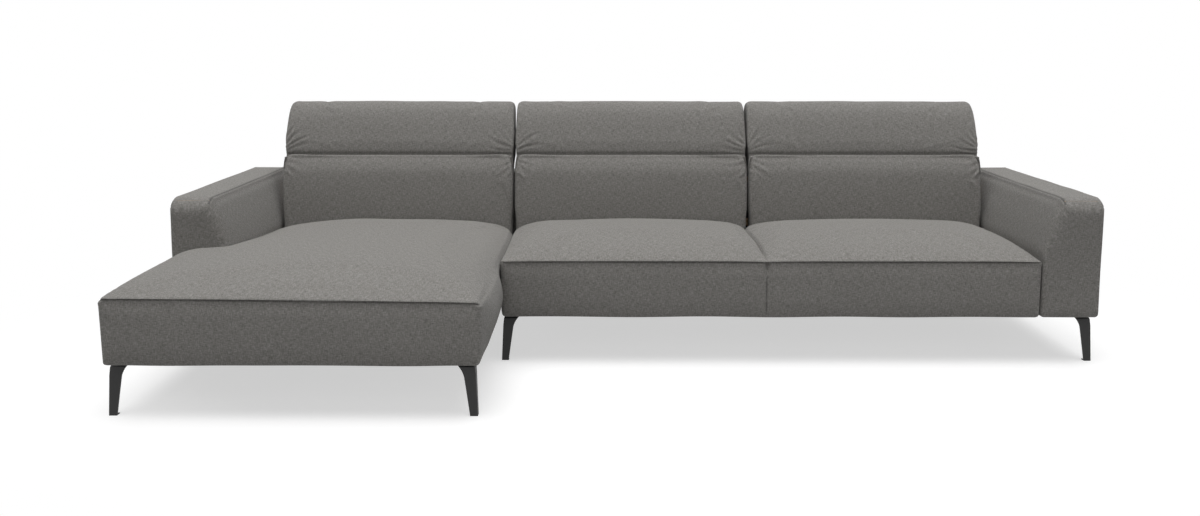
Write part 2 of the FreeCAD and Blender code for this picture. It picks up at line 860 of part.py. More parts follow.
def back_webbing():
    """Level elastic straps across the fronts of the back posts, in each module."""
    straps = []
    spans = ((ARM_LEFT + GAP + PAD, JOINT - GAP - PAD), (JOINT + GAP + PAD, ARM_RIGHT - GAP - PAD))
    for low, high in spans:
        for z in (320, 400, 480):
            thick, tall = 2, 50
            strap = in_yz(low, [
                (post_front(z) - thick, z),
                (post_front(z), z),
                (post_front(z + tall), z + tall),
                (post_front(z + tall) - thick, z + tall),
            ])
            straps.append(prism(strap, Vector(high - low, 0, 0)))
    return straps


def shell_profile():
    """A rear panel and its ledge from the side, as (Y, Z)."""
    thick, top, ledge_thick, corner = dim("shell_thick"), dim("shell_height"), 20, 12
    small = corner * (1 - math.cos(math.pi / 4))
    return [
        (REAR - thick, BASE),
        (REAR - corner, BASE),
        ((REAR - small, BASE + small), (REAR, BASE + corner)),
        (REAR, top - corner),
        ((REAR - small, top - small), (REAR - corner, top)),
        (dim("ledge_front"), top),
        (dim("ledge_front"), top - ledge_thick),
        (REAR - thick, top - ledge_thick),
    ]


def cheek_profile():
    """The upholstered end of a back, from the side, behind the seat and the back cushion."""
    thick, under_ledge = dim("shell_thick"), dim("shell_height") - 20
    low_front = dim("seat_rear") + 1
    below_cushion = dim("back_bottom") - 4
    clear_of_headrest = AXIS_Y - 17
    return [
        (low_front, BASE),
        (REAR - thick, BASE),
        (REAR - thick, under_ledge),
        (dim("ledge_front") - 4, under_ledge),
        (clear_of_headrest, under_ledge),
        (post_front(CUSHION_TOP), CUSHION_TOP),
        (post_front(below_cushion), below_cushion),
        (low_front, below_cushion),
    ]


def rear_shell(label, length_rule, start_rule, cheek_rule):
    """An upholstered rear panel with a ledge behind the headrests and a closed end cheek."""
    panel = padded_body(f"{label}_panel", "YZ_Plane", shell_profile(), length_rule)
    panel.setExpression("Placement.Base.x", start_rule)
    cheek = padded_body(f"{label}_cheek", "YZ_Plane", cheek_profile(), "dims.padding")
    cheek.setExpression("Placement.Base.x", cheek_rule)
    keep(boolean("MultiFuse", label, [panel, cheek]), label)


def backs():
    """The frames, straps and rear shells of both modules."""
    chaise_low, chaise_high = ARM_LEFT + GAP + PAD, JOINT - GAP - PAD
    sofa_low, sofa_high = JOINT + GAP + PAD, ARM_RIGHT - GAP - PAD
    back_frame("chaise_back_frame", chaise_low, chaise_high, (chaise_low + 30, chaise_high - 30))
    posts = (sofa_low + 30, dim("groove_x"), sofa_high - 30)
    back_frame("sofa_back_frame", sofa_low, sofa_high, posts)
    shape_node("back_webbing", Part.makeCompound(back_webbing()))
    joint = "dims.chaise_width - dims.overall_width / 2"
    rear_shell(
        "chaise_rear_panel",
        "dims.chaise_width - dims.arm_width - 2 * dims.half_gap",
        "dims.arm_width - dims.overall_width / 2 + dims.half_gap",
        f"{joint} - dims.half_gap - dims.padding",
    )
    rear_shell(
        "sofa_rear_panel",
        "dims.overall_width - dims.chaise_width - dims.arm_width - 2 * dims.half_gap",
        f"{joint} + dims.half_gap",
        f"{joint} + dims.half_gap",
    )


# Base frames

def rail_edges():
    """The base rails' shared edges: left, right and arm sides of each module."""
    draw, thick = dim("side_draw"), dim("rail_thick")
    return {
        "chaise_left": LEFT + PAD + draw + 1,
        "chaise_arm": ARM_LEFT + GAP + PAD + 1,
        "chaise_right": JOINT - GAP - PAD - draw - 1 - thick,
        "sofa_left": JOINT + GAP + PAD + 4,
        "sofa_right": ARM_RIGHT - GAP - PAD - 1 - thick,
        "sofa_middle": dim("groove_x") - thick / 2,
    }


def base_frames():
    """The timber rails of both modules, butted and screwed through corner blocks."""
    edge = rail_edges()
    thick = dim("rail_thick")
    chaise_front = FRONT + PAD + 4
    behind_front = chaise_front + thick
    step = STEP - GAP - PAD - 1 - thick
    rear = REAR - dim("shell_thick") - 10 - thick
    low, high = RAIL_LOW, RAIL_TOP

    def rail(label, x, y, x_end, y_end, rules):
        board(label, (x, y, low), (x_end, y_end, high), rules)

    left, arm, right = edge["chaise_left"], edge["chaise_arm"], edge["chaise_right"]
    rail("chaise_front_rail", left + 14, chaise_front, right + thick - 14, behind_front, ALONG_X)
    rail("chaise_left_rail", left, behind_front, left + thick, step, ALONG_Y)
    rail("chaise_step_rail", left, step, right, step + thick, ALONG_X)
    rail("chaise_right_rail", right, behind_front, right + thick, rear + thick, ALONG_Y)
    rail("chaise_arm_rail", arm, step + thick, arm + thick, rear + thick, ALONG_Y)
    rail("chaise_rear_rail", arm + thick, rear, right, rear + thick, ALONG_X)
    sofa_front = STEP + PAD + 4
    left, right, middle = edge["sofa_left"], edge["sofa_right"], edge["sofa_middle"]
    rail("sofa_front_rail", left + 8, sofa_front, right + thick, sofa_front + thick, ALONG_X)
    rail("sofa_left_rail", left, sofa_front + thick, left + thick, rear + thick, ALONG_Y)
    rail("sofa_middle_rail", middle, sofa_front + thick, middle + thick, rear, ALONG_Y)
    rail("sofa_right_rail", right, sofa_front + thick, right + thick, rear + thick, ALONG_Y)
    rail("sofa_rear_rail", left + thick, rear, right, rear + thick, ALONG_X)


def corner_block(x, y, turn_x, turn_y, size):
    """A bevelled block that fills a corner of a frame, above a leg's plate."""
    cut = size * 0.45
    points = [(0, 0), (size, 0), (size, size - cut), (size - cut, size), (0, size)]
    corners = [(x + turn_x * a, y + turn_y * b) for a, b in points]
    return prism(in_xy(RAIL_LOW, corners), Vector(0, 0, dim("block_thick")))


def corner_blocks():
    """Blocks in the base frames' corners, which the legs are screwed to."""
    edge = rail_edges()
    thick = dim("rail_thick")
    size = 170
    front = FRONT + PAD + 4 + thick
    rear = REAR - dim("shell_thick") - 10 - thick
    step = STEP - GAP - PAD - 1
    chaise = [
        corner_block(edge["chaise_left"] + thick, front, 1, 1, size),
        corner_block(edge["chaise_right"], front, -1, 1, size),
        corner_block(edge["chaise_left"] + thick, step - thick, 1, -1, 90),
        corner_block(edge["chaise_arm"] + thick, rear, 1, -1, 90),
        corner_block(edge["chaise_right"], rear, -1, -1, size),
    ]
    sofa_front = STEP + PAD + 4 + thick
    sofa = [
        corner_block(edge["sofa_left"] + thick, sofa_front, 1, 1, size),
        corner_block(edge["sofa_right"], sofa_front, -1, 1, 90),
        corner_block(edge["sofa_left"] + thick, rear, 1, -1, size),
        corner_block(edge["sofa_right"], rear, -1, -1, 90),
    ]
    for label, blocks in (("chaise_corner_blocks", chaise), ("sofa_corner_blocks", sofa)):
        shape_node(label, Part.makeCompound(blocks))


def straps_across(low, high, front, rear, across, along):
    """Elastic seat webbing: level straps across a frame, with straps laid over them."""
    cloth, wide = dim("cloth"), 60
    straps = []
    for index in range(across):
        y = front + 30 + (rear - front - 60 - wide) * index / (across - 1)
        straps.append(box((low, y, RAIL_TOP), (high, y + wide, RAIL_TOP + cloth)))
    for index in range(along):
        x = low + 60 + (high - low - 120 - wide) * index / (along - 1)
        straps.append(box((x, front, RAIL_TOP + cloth), (x + wide, rear, RAIL_TOP + 2 * cloth)))
    return straps


def webbing_and_dust_covers():
    """The seats' webbing, and the thin cloth that closes each base from below."""
    edge = rail_edges()
    thick = dim("rail_thick")
    rear = dim("seat_rear") - PAD
    arm, right = edge["chaise_arm"], edge["chaise_right"] + thick
    front_part = straps_across(edge["chaise_left"], right, FRONT + PAD + 6, STEP - 20, 4, 6)
    rear_part = straps_across(arm, right, STEP - 2, rear, 4, 5)
    shape_node("chaise_seat_webbing", Part.makeCompound(front_part + rear_part))
    sofa_low, sofa_high = edge["sofa_left"], edge["sofa_right"] + thick
    sofa_part = straps_across(sofa_low, sofa_high, STEP + PAD + 6, rear, 5, 11)
    shape_node("sofa_seat_webbing", Part.makeCompound(sofa_part))
    back_edge = REAR - dim("shell_thick") - 2
    chaise = prism(in_xy(BASE, [
        (edge["chaise_left"], FRONT + PAD + 6),
        (right, FRONT + PAD + 6),
        (right, back_edge),
        (arm, back_edge),
        (arm, STEP - GAP - PAD - 1),
        (edge["chaise_left"], STEP - GAP - PAD - 1),
    ]), Vector(0, 0, dim("cloth")))
    sofa = box((sofa_low, STEP + PAD + 6, BASE), (sofa_high, back_edge, RAIL_LOW))
    shape_node("chaise_dust_cover", chaise)
    shape_node("sofa_dust_cover", sofa)


# Legs

def leg_places():
    """Each leg's node name, outer corner and the turn that points it inward."""
    inset = dim("leg_inset")
    places = []
    modules = (("chaise", LEFT, JOINT - 20, FRONT), ("sofa", JOINT, RIGHT, STEP))
    for module, left, right, front in modules:
        places.append((f"{module}_leg_front_left", left, front + inset, 0))
        places.append((f"{module}_leg_front_right", right, front + inset, 90))
        places.append((f"{module}_leg_rear_right", right, REAR - inset, 180))
        places.append((f"{module}_leg_rear_left", left, REAR - inset, 270))
    return places


def blade_profile():
    """One flank of a leg, drawn from its outer corner inwards and upwards."""
    top = BASE - dim("plate_thick")
    splay = dim("leg_splay")
    foot = dim("glide_thick")
    wide, middle, narrow = dim("blade_top"), dim("blade_middle"), dim("blade_foot")
    middle_z = top - 42
    middle_x = splay * middle_z / top
    return [
        (0, foot),
        (narrow, foot),
        ((narrow * 0.62 + (middle_x + middle) * 0.40, middle_z * 0.45), (middle_x + middle, middle_z)),
        ((splay + wide * 0.74, top - 16), (splay + wide, top)),
        (splay + 6, top),
        (splay - 1, top - 11),
        (splay - 3.5, top - 34),
    ]


PLATE_ARM = 46


def plate_outline():
    """A leg's top plate from above: two arms along the frame's corner, with bevelled ends."""
    start = dim("leg_splay")
    end = start + dim("plate_length")
    arm = start + PLATE_ARM
    bevel, corner, web = 8, 10, 30
    small = corner * (1 - math.cos(math.pi / 4))
    return [
        (start + corner, start),
        (end - bevel, start),
        (end, start + bevel),
        (end, arm),
        (arm + web, arm),
        (arm, arm + web),
        (arm, end),
        (start + bevel, end),
        (start, end - bevel),
        (start, start + corner),
        ((start + small, start + small), (start + corner, start)),
    ]


def leg_pattern():
    """One leg at the origin: two curved flanks that meet at the outer corner, under a top plate."""
    reach = "dims.blade_top + dims.leg_splay + 5"
    front = padded_body("leg_front_flank", "XZ_Plane", blade_profile(), reach, True)
    side = padded_body("leg_side_flank", "YZ_Plane", blade_profile(), reach)
    solid = boolean("MultiCommon", "leg_solid", [front, side])
    hollow = doc.addObject("Part::Feature", "leg_hollow")
    hollow.Shape = solid.Shape
    hollow.setExpression("Placement.Base.x", "dims.blade_thick")
    hollow.setExpression("Placement.Base.y", "dims.blade_thick")
    blade = boolean("Cut", "leg_blade", [solid, hollow])
    plate = padded_body("leg_plate", "XY_Plane", plate_outline(), "dims.plate_thick")
    plate.setExpression("Placement.Base.z", "dims.leg_height - dims.plate_thick")
    return boolean("MultiFuse", "leg_pattern", [blade, plate])


def legs():
    """Eight legs from one pattern, each turned so that its outer corner leads, on its glide."""
    pattern = leg_pattern()
    foot = dim("blade_foot")
    upright = Vector(0, 0, 1)
    glides = []
    for label, x, y, turn in leg_places():
        thing = shape_node(label, pattern.Shape.copy())
        thing.Placement = Placement(Vector(x, y, 0), Rotation(upright, turn))
        glide = box((0, 0, 0), (foot, foot, dim("glide_thick")))
        glide.rotate(Vector(0, 0, 0), upright, turn)
        glide.translate(Vector(x, y, 0))
        glides.append(glide)
    shape_node("leg_glides", Part.makeCompound(glides))


# Module connectors

def connectors():
    """Hooks under the chaise that drop into catches under the sofa module."""
    hooks, catches = [], []
    top = BASE
    for y in (200, 480):
        hook = in_xz(y, [
            (JOINT - 90, top),
            (JOINT - 90, top - 4),
            (JOINT + 40, top - 8),
            (JOINT + 40, top - 4),
            (JOINT - 20, top),
        ])
        hooks.append(prism(hook, Vector(0, 36, 0)))
        plate = box((JOINT + 15, y - 14, top - 2), (JOINT + 90, y + 50, top))
        strap = box((JOINT + 22, y - 14, top - 12), (JOINT + 46, y + 50, top - 10))
        ends = []
        for low in (-14, 47):
            ends.append(box((JOINT + 22, y + low, top - 12), (JOINT + 46, y + low + 3, top)))
        catches.append(plate.fuse([strap] + ends).removeSplitter())
    shape_node("connector_hooks", Part.makeCompound(hooks))
    shape_node("connector_catches", Part.makeCompound(catches))


def check_and_export():
    """Stops on any failed object or invalid shape, then writes one file for each sub-part."""
    doc.recompute()
    for thing in doc.Objects:
        if "Invalid" in thing.State or "Error" in thing.State:
            raise RuntimeError(f"{thing.Label} failed: {thing.State}")
    for label, thing in nodes.items():
        if thing.Shape.isNull() or not thing.Shape.isValid() or not thing.Shape.Solids:
            raise RuntimeError(f"{label} has no valid solid")
    os.makedirs("parts", exist_ok=True)
    for label, thing in nodes.items():
        thing.Shape.exportStep(f"parts/{label}.step")
    print(len(nodes), "sub-parts")


def main():
    """Builds every sub-part and writes them."""
    legs()
    base_frames()
    corner_blocks()
    webbing_and_dust_covers()
    chaise_seat()
    sofa_seat()
    arms()
    backs()
    back_cushions()
    headrests()
    connectors()
    check_and_export()


main()
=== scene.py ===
"""Looks of a sectional sofa with a chaise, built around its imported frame.

+X points to the right, +Y to the rear and +Z up, in metres. Each upholstered piece is a closed cloth
form made from its own section or outline, and the timber, legs and hinges keep their own solids.
"""
from __future__ import annotations

import logging
import math
from dataclasses import dataclass, field
from enum import Enum
from typing import Callable, Sequence

import bmesh
import bpy
import numpy as np
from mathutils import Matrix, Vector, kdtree


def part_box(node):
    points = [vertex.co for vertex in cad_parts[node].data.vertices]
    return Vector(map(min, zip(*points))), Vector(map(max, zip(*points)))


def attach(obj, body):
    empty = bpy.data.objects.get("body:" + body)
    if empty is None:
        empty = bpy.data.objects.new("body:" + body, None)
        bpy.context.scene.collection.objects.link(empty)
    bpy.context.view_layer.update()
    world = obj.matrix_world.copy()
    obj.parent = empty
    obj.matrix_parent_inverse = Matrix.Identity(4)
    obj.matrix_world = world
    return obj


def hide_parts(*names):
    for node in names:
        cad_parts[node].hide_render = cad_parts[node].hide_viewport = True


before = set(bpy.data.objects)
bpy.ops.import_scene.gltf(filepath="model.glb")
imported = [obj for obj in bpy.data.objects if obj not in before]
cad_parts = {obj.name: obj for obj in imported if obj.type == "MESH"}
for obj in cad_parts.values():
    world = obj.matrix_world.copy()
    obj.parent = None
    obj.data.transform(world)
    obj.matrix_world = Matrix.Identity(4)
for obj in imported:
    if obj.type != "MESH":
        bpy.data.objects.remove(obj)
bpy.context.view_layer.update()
log = logging.getLogger("sofa")

MM = 0.001


# Shapes shared by the upholstered pieces


class End(Enum):
    """One end of a piece that runs along X."""

    LOW = -1
    HIGH = 1


@dataclass
class Patch:
    """A grid of surface points and where each lies on flat cloth, in metres."""

    points: np.ndarray
    cloth: np.ndarray


@dataclass(frozen=True)
class Wrinkle:
    """A pulled fold: a shallow furrow between two ridges, from one point of the cloth to another."""

    start: tuple[float, float]
    end: tuple[float, float]
    depth: float
    width: float


def smooth(low: float, high: float, value: np.ndarray) -> np.ndarray:
    """A soft step from 0 at low to 1 at high.

    Args:
        low: where the step starts.
        high: where it ends.
        value: the values to step.

    Returns:
        The stepped values.
    """
    t = np.clip((value - low) / (high - low), 0.0, 1.0)
    return t * t * (3.0 - 2.0 * t)


def spaced(start: float, end: float, step: float, focus: Sequence[float] = (), near: float = 0.012,
           fine: float = 0.002) -> np.ndarray:
    """Positions between two ends, with finer steps beside each place in focus.

    Args:
        start: the first position.
        end: the last position.
        step: the usual distance between positions.
        focus: places that need a finer spacing.
        near: how far the finer spacing reaches on each side.
        fine: the finer step.

    Returns:
        The sorted positions.
    """
    values = list(np.linspace(start, end, max(2, int(round((end - start) / step)) + 1)))
    for place in focus:
        values += [v for v in np.arange(place - near, place + near + fine / 2, fine) if start < v < end]
    kept = [start]
    for value in sorted(values)[1:]:
        if value - kept[-1] > 0.6 * fine:
            kept.append(value)
    kept[-1] = end
    return np.array(kept)


def straight(start: Sequence[float], end: Sequence[float], count: int) -> np.ndarray:
    """Points along a straight line, without its end.

    Args:
        start: the first point.
        end: the point that the line leads to.
        count: how many points.

    Returns:
        The points, one row each.
    """
    t = np.arange(count)[:, None] / count
    return np.asarray(start, float) * (1 - t) + np.asarray(end, float) * t


def arc(centre: Sequence[float], radius: float, start: float, end: float, count: int) -> np.ndarray:
    """Points along a circular arc, without its end.

    Args:
        centre: the arc's centre.
        radius: its radius.
        start: the first angle, in degrees.
        end: the angle that it leads to.
        count: how many points.

    Returns:
        The points, one row each.
    """
    turn = np.radians(start + (end - start) * np.arange(count) / count)
    return np.stack([centre[0] + radius * np.cos(turn), centre[1] + radius * np.sin(turn)], 1)


def through(points: Sequence[Sequence[float]], count: int) -> np.ndarray:
    """Points along a smooth curve through given points, without its end.

    Args:
        points: the points that the curve passes.
        count: how many points to return.

    Returns:
        The points, evenly spaced along the curve.
    """
    p = np.asarray(points, float)
    padded = np.vstack([2 * p[0] - p[1], p, 2 * p[-1] - p[-2]])
    dense = []
    for a, b, c, d in zip(padded, padded[1:], padded[2:], padded[3:]):
        t = np.linspace(0, 1, 24, endpoint=False)[:, None]
        dense.append(0.5 * (2 * b + (c - a) * t + (2 * a - 5 * b + 4 * c - d) * t**2
                            + (3 * b - a - 3 * c + d) * t**3))
    line = np.vstack(dense + [p[-1:]])
    reach = np.concatenate([[0], np.cumsum(np.linalg.norm(np.diff(line, axis=0), axis=1))])
    wanted = np.linspace(0, reach[-1], count, endpoint=False)
    return np.stack([np.interp(wanted, reach, line[:, axis]) for axis in range(p.shape[1])], 1)


def outward_2d(loop: np.ndarray) -> np.ndarray:
    """Outward unit normals of a closed flat loop.

    Args:
        loop: its points, in order.

    Returns:
        One normal for each point.
    """
    along = np.roll(loop, -1, axis=0) - np.roll(loop, 1, axis=0)
    normal = np.stack([along[:, 1], -along[:, 0]], 1)
    normal /= np.maximum(np.linalg.norm(normal, axis=1, keepdims=True), 1e-9)
    area = np.sum(loop[:, 0] * np.roll(loop[:, 1], -1) - loop[:, 1] * np.roll(loop[:, 0], -1))
    return normal if area > 0 else -normal


def ripple(a: np.ndarray, b: np.ndarray, seed: int, lengths: Sequence[float]) -> np.ndarray:
    """A gentle unevenness over a surface: a sum of waves in seeded directions.

    Args:
        a: one cloth coordinate, in metres.
        b: the other.
        seed: fixes the directions and phases.
        lengths: the wavelengths, in metres.

    Returns:
        Values of about -1 to 1.
    """
    random = np.random.default_rng(seed)
    total = np.zeros_like(a)
    for length in lengths:
        for _ in range(4):
            turn, phase = random.uniform(0, 2 * math.pi, 2)
            total += np.sin((a * math.cos(turn) + b * math.sin(turn)) * 2 * math.pi / length + phase)
    return total / (2.2 * len(lengths))


def furrow(a: np.ndarray, b: np.ndarray, fold: Wrinkle) -> np.ndarray:
    """How far one pulled fold moves the cloth in or out.

    Args:
        a: one cloth coordinate.
        b: the other.
        fold: the fold.

    Returns:
        The move along the normal, in metres.
    """
    start, end = np.array(fold.start), np.array(fold.end)
    way = end - start
    length = float(np.linalg.norm(way))
    way /= length
    along = (a - start[0]) * way[0] + (b - start[1]) * way[1]
    bow = 0.06 * length * np.sin(np.clip(along / length, 0, 1) * math.pi)
    across = (a - start[0]) * -way[1] + (b - start[1]) * way[0] - bow
    window = smooth(-0.25 * length, 0.15 * length, along) * (1 - smooth(0.45 * length, length, along))
    dip = np.exp(-((across / fold.width) ** 2))
    ridge = np.exp(-(((np.abs(across) - 1.9 * fold.width) / (1.1 * fold.width)) ** 2))
    return fold.depth * window * (0.55 * ridge - dip)


def cloth_object(name: str, patches: Sequence[Patch], caps: Sequence[np.ndarray] = ()) -> bpy.types.Object:
    """A closed mesh from patches that share their edges.

    Args:
        name: the piece's name.
        patches: its grids of points.
        caps: closed loops of points, each filled with one flat face.

    Returns:
        The new object, at the origin, with its cloth coordinates as a UV map.
    """
    points, faces, cloth = [], [], []
    start = 0
    for patch in patches:
        rows, columns = patch.points.shape[:2]
        points.append(patch.points.reshape(-1, 3))
        index = start + np.arange(rows * columns).reshape(rows, columns)
        quads = np.stack([index[:-1, :-1], index[1:, :-1], index[1:, 1:], index[:-1, 1:]], -1).reshape(-1, 4)
        faces += quads.tolist()
        cloth.append(patch.cloth.reshape(-1, 2)[(quads - start).reshape(-1)])
        start += rows * columns
    for loop in caps:
        points.append(loop)
        faces.append(list(range(start, start + len(loop))))
        cloth.append(loop[:, :2])
        start += len(loop)
    mesh = bpy.data.meshes.new(name)
    mesh.from_pydata(np.vstack(points).tolist(), [], faces)
    layer = mesh.uv_layers.new(name="cloth")
    layer.data.foreach_set("uv", np.vstack(cloth).astype(np.float32).reshape(-1))
    work = bmesh.new()
    work.from_mesh(mesh)
    bmesh.ops.remove_doubles(work, verts=work.verts, dist=2e-5)
    bmesh.ops.dissolve_degenerate(work, edges=work.edges, dist=1e-6)
    bmesh.ops.recalc_face_normals(work, faces=work.faces)
    work.to_mesh(mesh)
    work.free()
    mesh.shade_smooth()
    thing = bpy.data.objects.new(name, mesh)
    bpy.context.scene.collection.objects.link(thing)
    return thing


def positions(thing: bpy.types.Object) -> np.ndarray:
    """Reads where an object's vertices are.

    Args:
        thing: the object.

    Returns:
        Their positions, one row each.
    """
    flat = np.zeros(len(thing.data.vertices) * 3, np.float32)
    thing.data.vertices.foreach_get("co", flat)
    return flat.reshape(-1, 3).astype(float)


def put_positions(thing: bpy.types.Object, points: np.ndarray) -> None:
    """Moves an object's vertices.

    Args:
        thing: the object.
        points: their new positions, one row each.
    """
    thing.data.vertices.foreach_set("co", points.astype(np.float32).reshape(-1))
    thing.data.update()


def vertex_normals(thing: bpy.types.Object) -> np.ndarray:
    """Reads an object's vertex normals.

    Args:
        thing: the object.

    Returns:
        The normals, one row each.
    """
    flat = np.zeros(len(thing.data.vertices) * 3, np.float32)
    thing.data.vertex_normals.foreach_get("vector", flat)
    return flat.reshape(-1, 3).astype(float)


def sew(thing: bpy.types.Object, seams: Sequence[np.ndarray], depth: float = 2.2 * MM,
        width: float = 2.4 * MM, puff: float = 0.9 * MM) -> None:
    """Presses seams into a piece, lifts the cloth beside them and marks them for the painted shade that the
    finish puts along each seam.

    Args:
        thing: the piece.
        seams: lines of points that lie on its surface.
        depth: how deep the seam line lies.
        width: how wide its furrow is.
        puff: how far the cloth beside it stands up.
    """
    points, normals = positions(thing), vertex_normals(thing)
    tree_points = np.vstack([dense(line, 1.5 * MM) for line in seams])
    tree = kdtree.KDTree(len(tree_points))
    for index, point in enumerate(tree_points):
        tree.insert(point, index)
    tree.balance()
    away = np.array([tree.find(point)[2] for point in points])
    move = puff * np.exp(-(((away - 8 * MM) / (5 * MM)) ** 2)) - depth * np.exp(-((away / width) ** 2))
    put_positions(thing, points + normals * move[:, None])
    # Painted shade: this mark tells the upholstery finish where to darken the cloth along each seam, standing
    # in for the shade in its furrow.
    seam_shade_mark = thing.data.attributes.new("seam", "FLOAT", "POINT")
    seam_shade_mark.data.foreach_set("value", np.exp(-((away / (2.0 * MM)) ** 2)).astype(np.float32))


def dense(line: np.ndarray, step: float) -> np.ndarray:
    """A line of points with others added, so that none are further apart than a step.

    Args:
        line: the line's points.
        step: the largest distance.

    Returns:
        The closer points.
    """
    reach = np.concatenate([[0], np.cumsum(np.linalg.norm(np.diff(line, axis=0), axis=1))])
    wanted = np.linspace(0, reach[-1], max(2, int(reach[-1] / step)))
    return np.stack([np.interp(wanted, reach, line[:, axis]) for axis in range(3)], 1)


@dataclass
class Loft:
    """A closed form: a row of flat loops along X or Y, closed by a domed cap at each end.

    Every loop has the same number of points, given as (Y, Z) for a form along X and (X, Z) along Y.
    """

    along_x: bool
    stations: np.ndarray
    loops: list[np.ndarray]
    dome: tuple[float, float] = (0.0, 0.0)
    rings: int = 6
    heart: tuple[float, float] | None = None

    def place(self, station: float, loop: np.ndarray) -> np.ndarray:
        """A loop's points in the row frame.

        Args:
            station: where the loop stands.
            loop: its flat points.

        Returns:
            The points in three dimensions.
        """
        fixed = np.full(len(loop), station)
        columns = [fixed, loop[:, 0], loop[:, 1]] if self.along_x else [loop[:, 0], fixed, loop[:, 1]]
        return np.stack(columns, 1)

    def patches(self) -> list[Patch]:
        """Spreads the loops into a side and two caps.

        Returns:
            Patches that share their edges.
        """
        loops = [np.vstack([loop, loop[:1]]) for loop in self.loops]
        points = np.array([self.place(s, loop) for s, loop in zip(self.stations, loops)])
        middle = loops[len(loops) // 2]
        round_it = np.concatenate([[0], np.cumsum(np.linalg.norm(np.diff(middle, axis=0), axis=1))])
        cloth = np.stack(np.broadcast_arrays(self.stations[:, None], round_it[None, :]), -1)
        made = [Patch(points, cloth)]
        for end, dome in ((0, -self.dome[0]), (-1, self.dome[1])):
            loop = loops[end]
            heart = np.array(self.heart) if self.heart else loop[:-1].mean(axis=0)
            share = np.linspace(1, 0, self.rings + 1)
            rings = [heart + (loop - heart) * s for s in share]
            reach = [self.stations[end] + dome * (1 - s * s) for s in share]
            cap = np.array([self.place(at, ring) for at, ring in zip(reach, rings)])
            made.append(Patch(cap, np.array(rings)))
        return made


def from_ends(x: np.ndarray, low: float, high: float) -> np.ndarray:
    """How far each place lies from the nearer of two ends.

    Args:
        x: the places.
        low: the lower end.
        high: the upper end.

    Returns:
        The distances.
    """
    return np.minimum(x - low, high - x)


def pulled_in(loop: np.ndarray, amount: float) -> np.ndarray:
    """A closed loop moved inwards along its normals.

    Args:
        loop: its points.
        amount: how far, in metres.

    Returns:
        The smaller loop.
    """
    return loop - outward_2d(loop) * amount


def rounding(away: float, depth: float, reach: float) -> float:
    """How far a surface draws in near an edge, as a quarter of an ellipse.

    Args:
        away: the distance from the edge.
        depth: how far it draws in at the edge.
        reach: how far from the edge it starts.

    Returns:
        The draw, in the units of depth.
    """
    t = min(max(1 - away / reach, 0.0), 1.0)
    return depth * (1 - math.sqrt(1 - t * t))


def inflate(thing: bpy.types.Object, held: np.ndarray, limit: float, swell: float = 4.0,
            spare: float = 0.006) -> None:
    """Puffs a padded piece up by a cloth simulation, holding some points and limiting the others.

    Args:
        thing: the piece.
        held: for each vertex, from 0, free, to 1, held still.
        limit: how far a point may move, in metres.
        swell: the pressure inside.
        spare: how much larger the cloth is than the form, as a share, so that it can crease.
    """
    scene = bpy.context.scene
    frames = 10
    group = thing.vertex_groups.new(name="held")
    for index in np.nonzero(held > 0.02)[0]:
        group.add([int(index)], float(held[index]), "REPLACE")
    cloth = thing.modifiers.new("padding", "CLOTH")
    settings = cloth.settings
    settings.quality = 4
    settings.mass = 0.25
    settings.tension_stiffness = settings.compression_stiffness = 30
    settings.shear_stiffness = 12
    settings.bending_stiffness = 3
    settings.use_pressure = True
    settings.uniform_pressure_force = swell
    settings.vertex_group_mass = "held"
    settings.pin_stiffness = 4
    settings.shrink_min = -spare
    settings.effector_weights.gravity = 0
    cloth.collision_settings.use_collision = False
    cloth.point_cache.frame_start = 1
    cloth.point_cache.frame_end = frames
    before = positions(thing)
    for moment in range(1, frames + 1):
        scene.frame_set(moment)
    shaped = thing.evaluated_get(bpy.context.evaluated_depsgraph_get())
    flat = np.zeros(len(before) * 3, np.float32)
    shaped.data.vertices.foreach_get("co", flat)
    move = flat.reshape(-1, 3) - before
    size = np.linalg.norm(move, axis=1, keepdims=True)
    move *= np.minimum(1, limit / np.maximum(size, 1e-9)) * (1 - np.clip(held, 0, 1))[:, None]
    thing.modifiers.remove(cloth)
    scene.frame_set(1)
    thing.vertex_groups.clear()
    put_positions(thing, before + move)


def crease(thing: bpy.types.Object, axes: tuple[int, int], folds: Sequence[Wrinkle],
           where: Callable[[np.ndarray], np.ndarray]) -> None:
    """Presses pulled folds into one side of a piece.

    Args:
        thing: the piece.
        axes: the two axes that the folds' places are given in.
        folds: the folds.
        where: gives each point's share of the folds.
    """
    points, normals = positions(thing), vertex_normals(thing)
    a, b = points[:, axes[0]], points[:, axes[1]]
    move = sum(furrow(a, b, fold) for fold in folds) * where(points)
    put_positions(thing, points + normals * move[:, None])


def soften(thing: bpy.types.Object, seed: int, depth: float, lengths: Sequence[float]) -> None:
    """Gives a padded surface a slight unevenness, so that no face is dead flat.

    Args:
        thing: the piece.
        seed: fixes the pattern.
        depth: the most that a point moves, in metres.
        lengths: the wavelengths.
    """
    points, normals = positions(thing), vertex_normals(thing)
    move = depth * ripple(points[:, 0] + 0.6 * points[:, 1], points[:, 2] - 0.7 * points[:, 1], seed, lengths)
    put_positions(thing, points + normals * move[:, None])


# The padded pieces


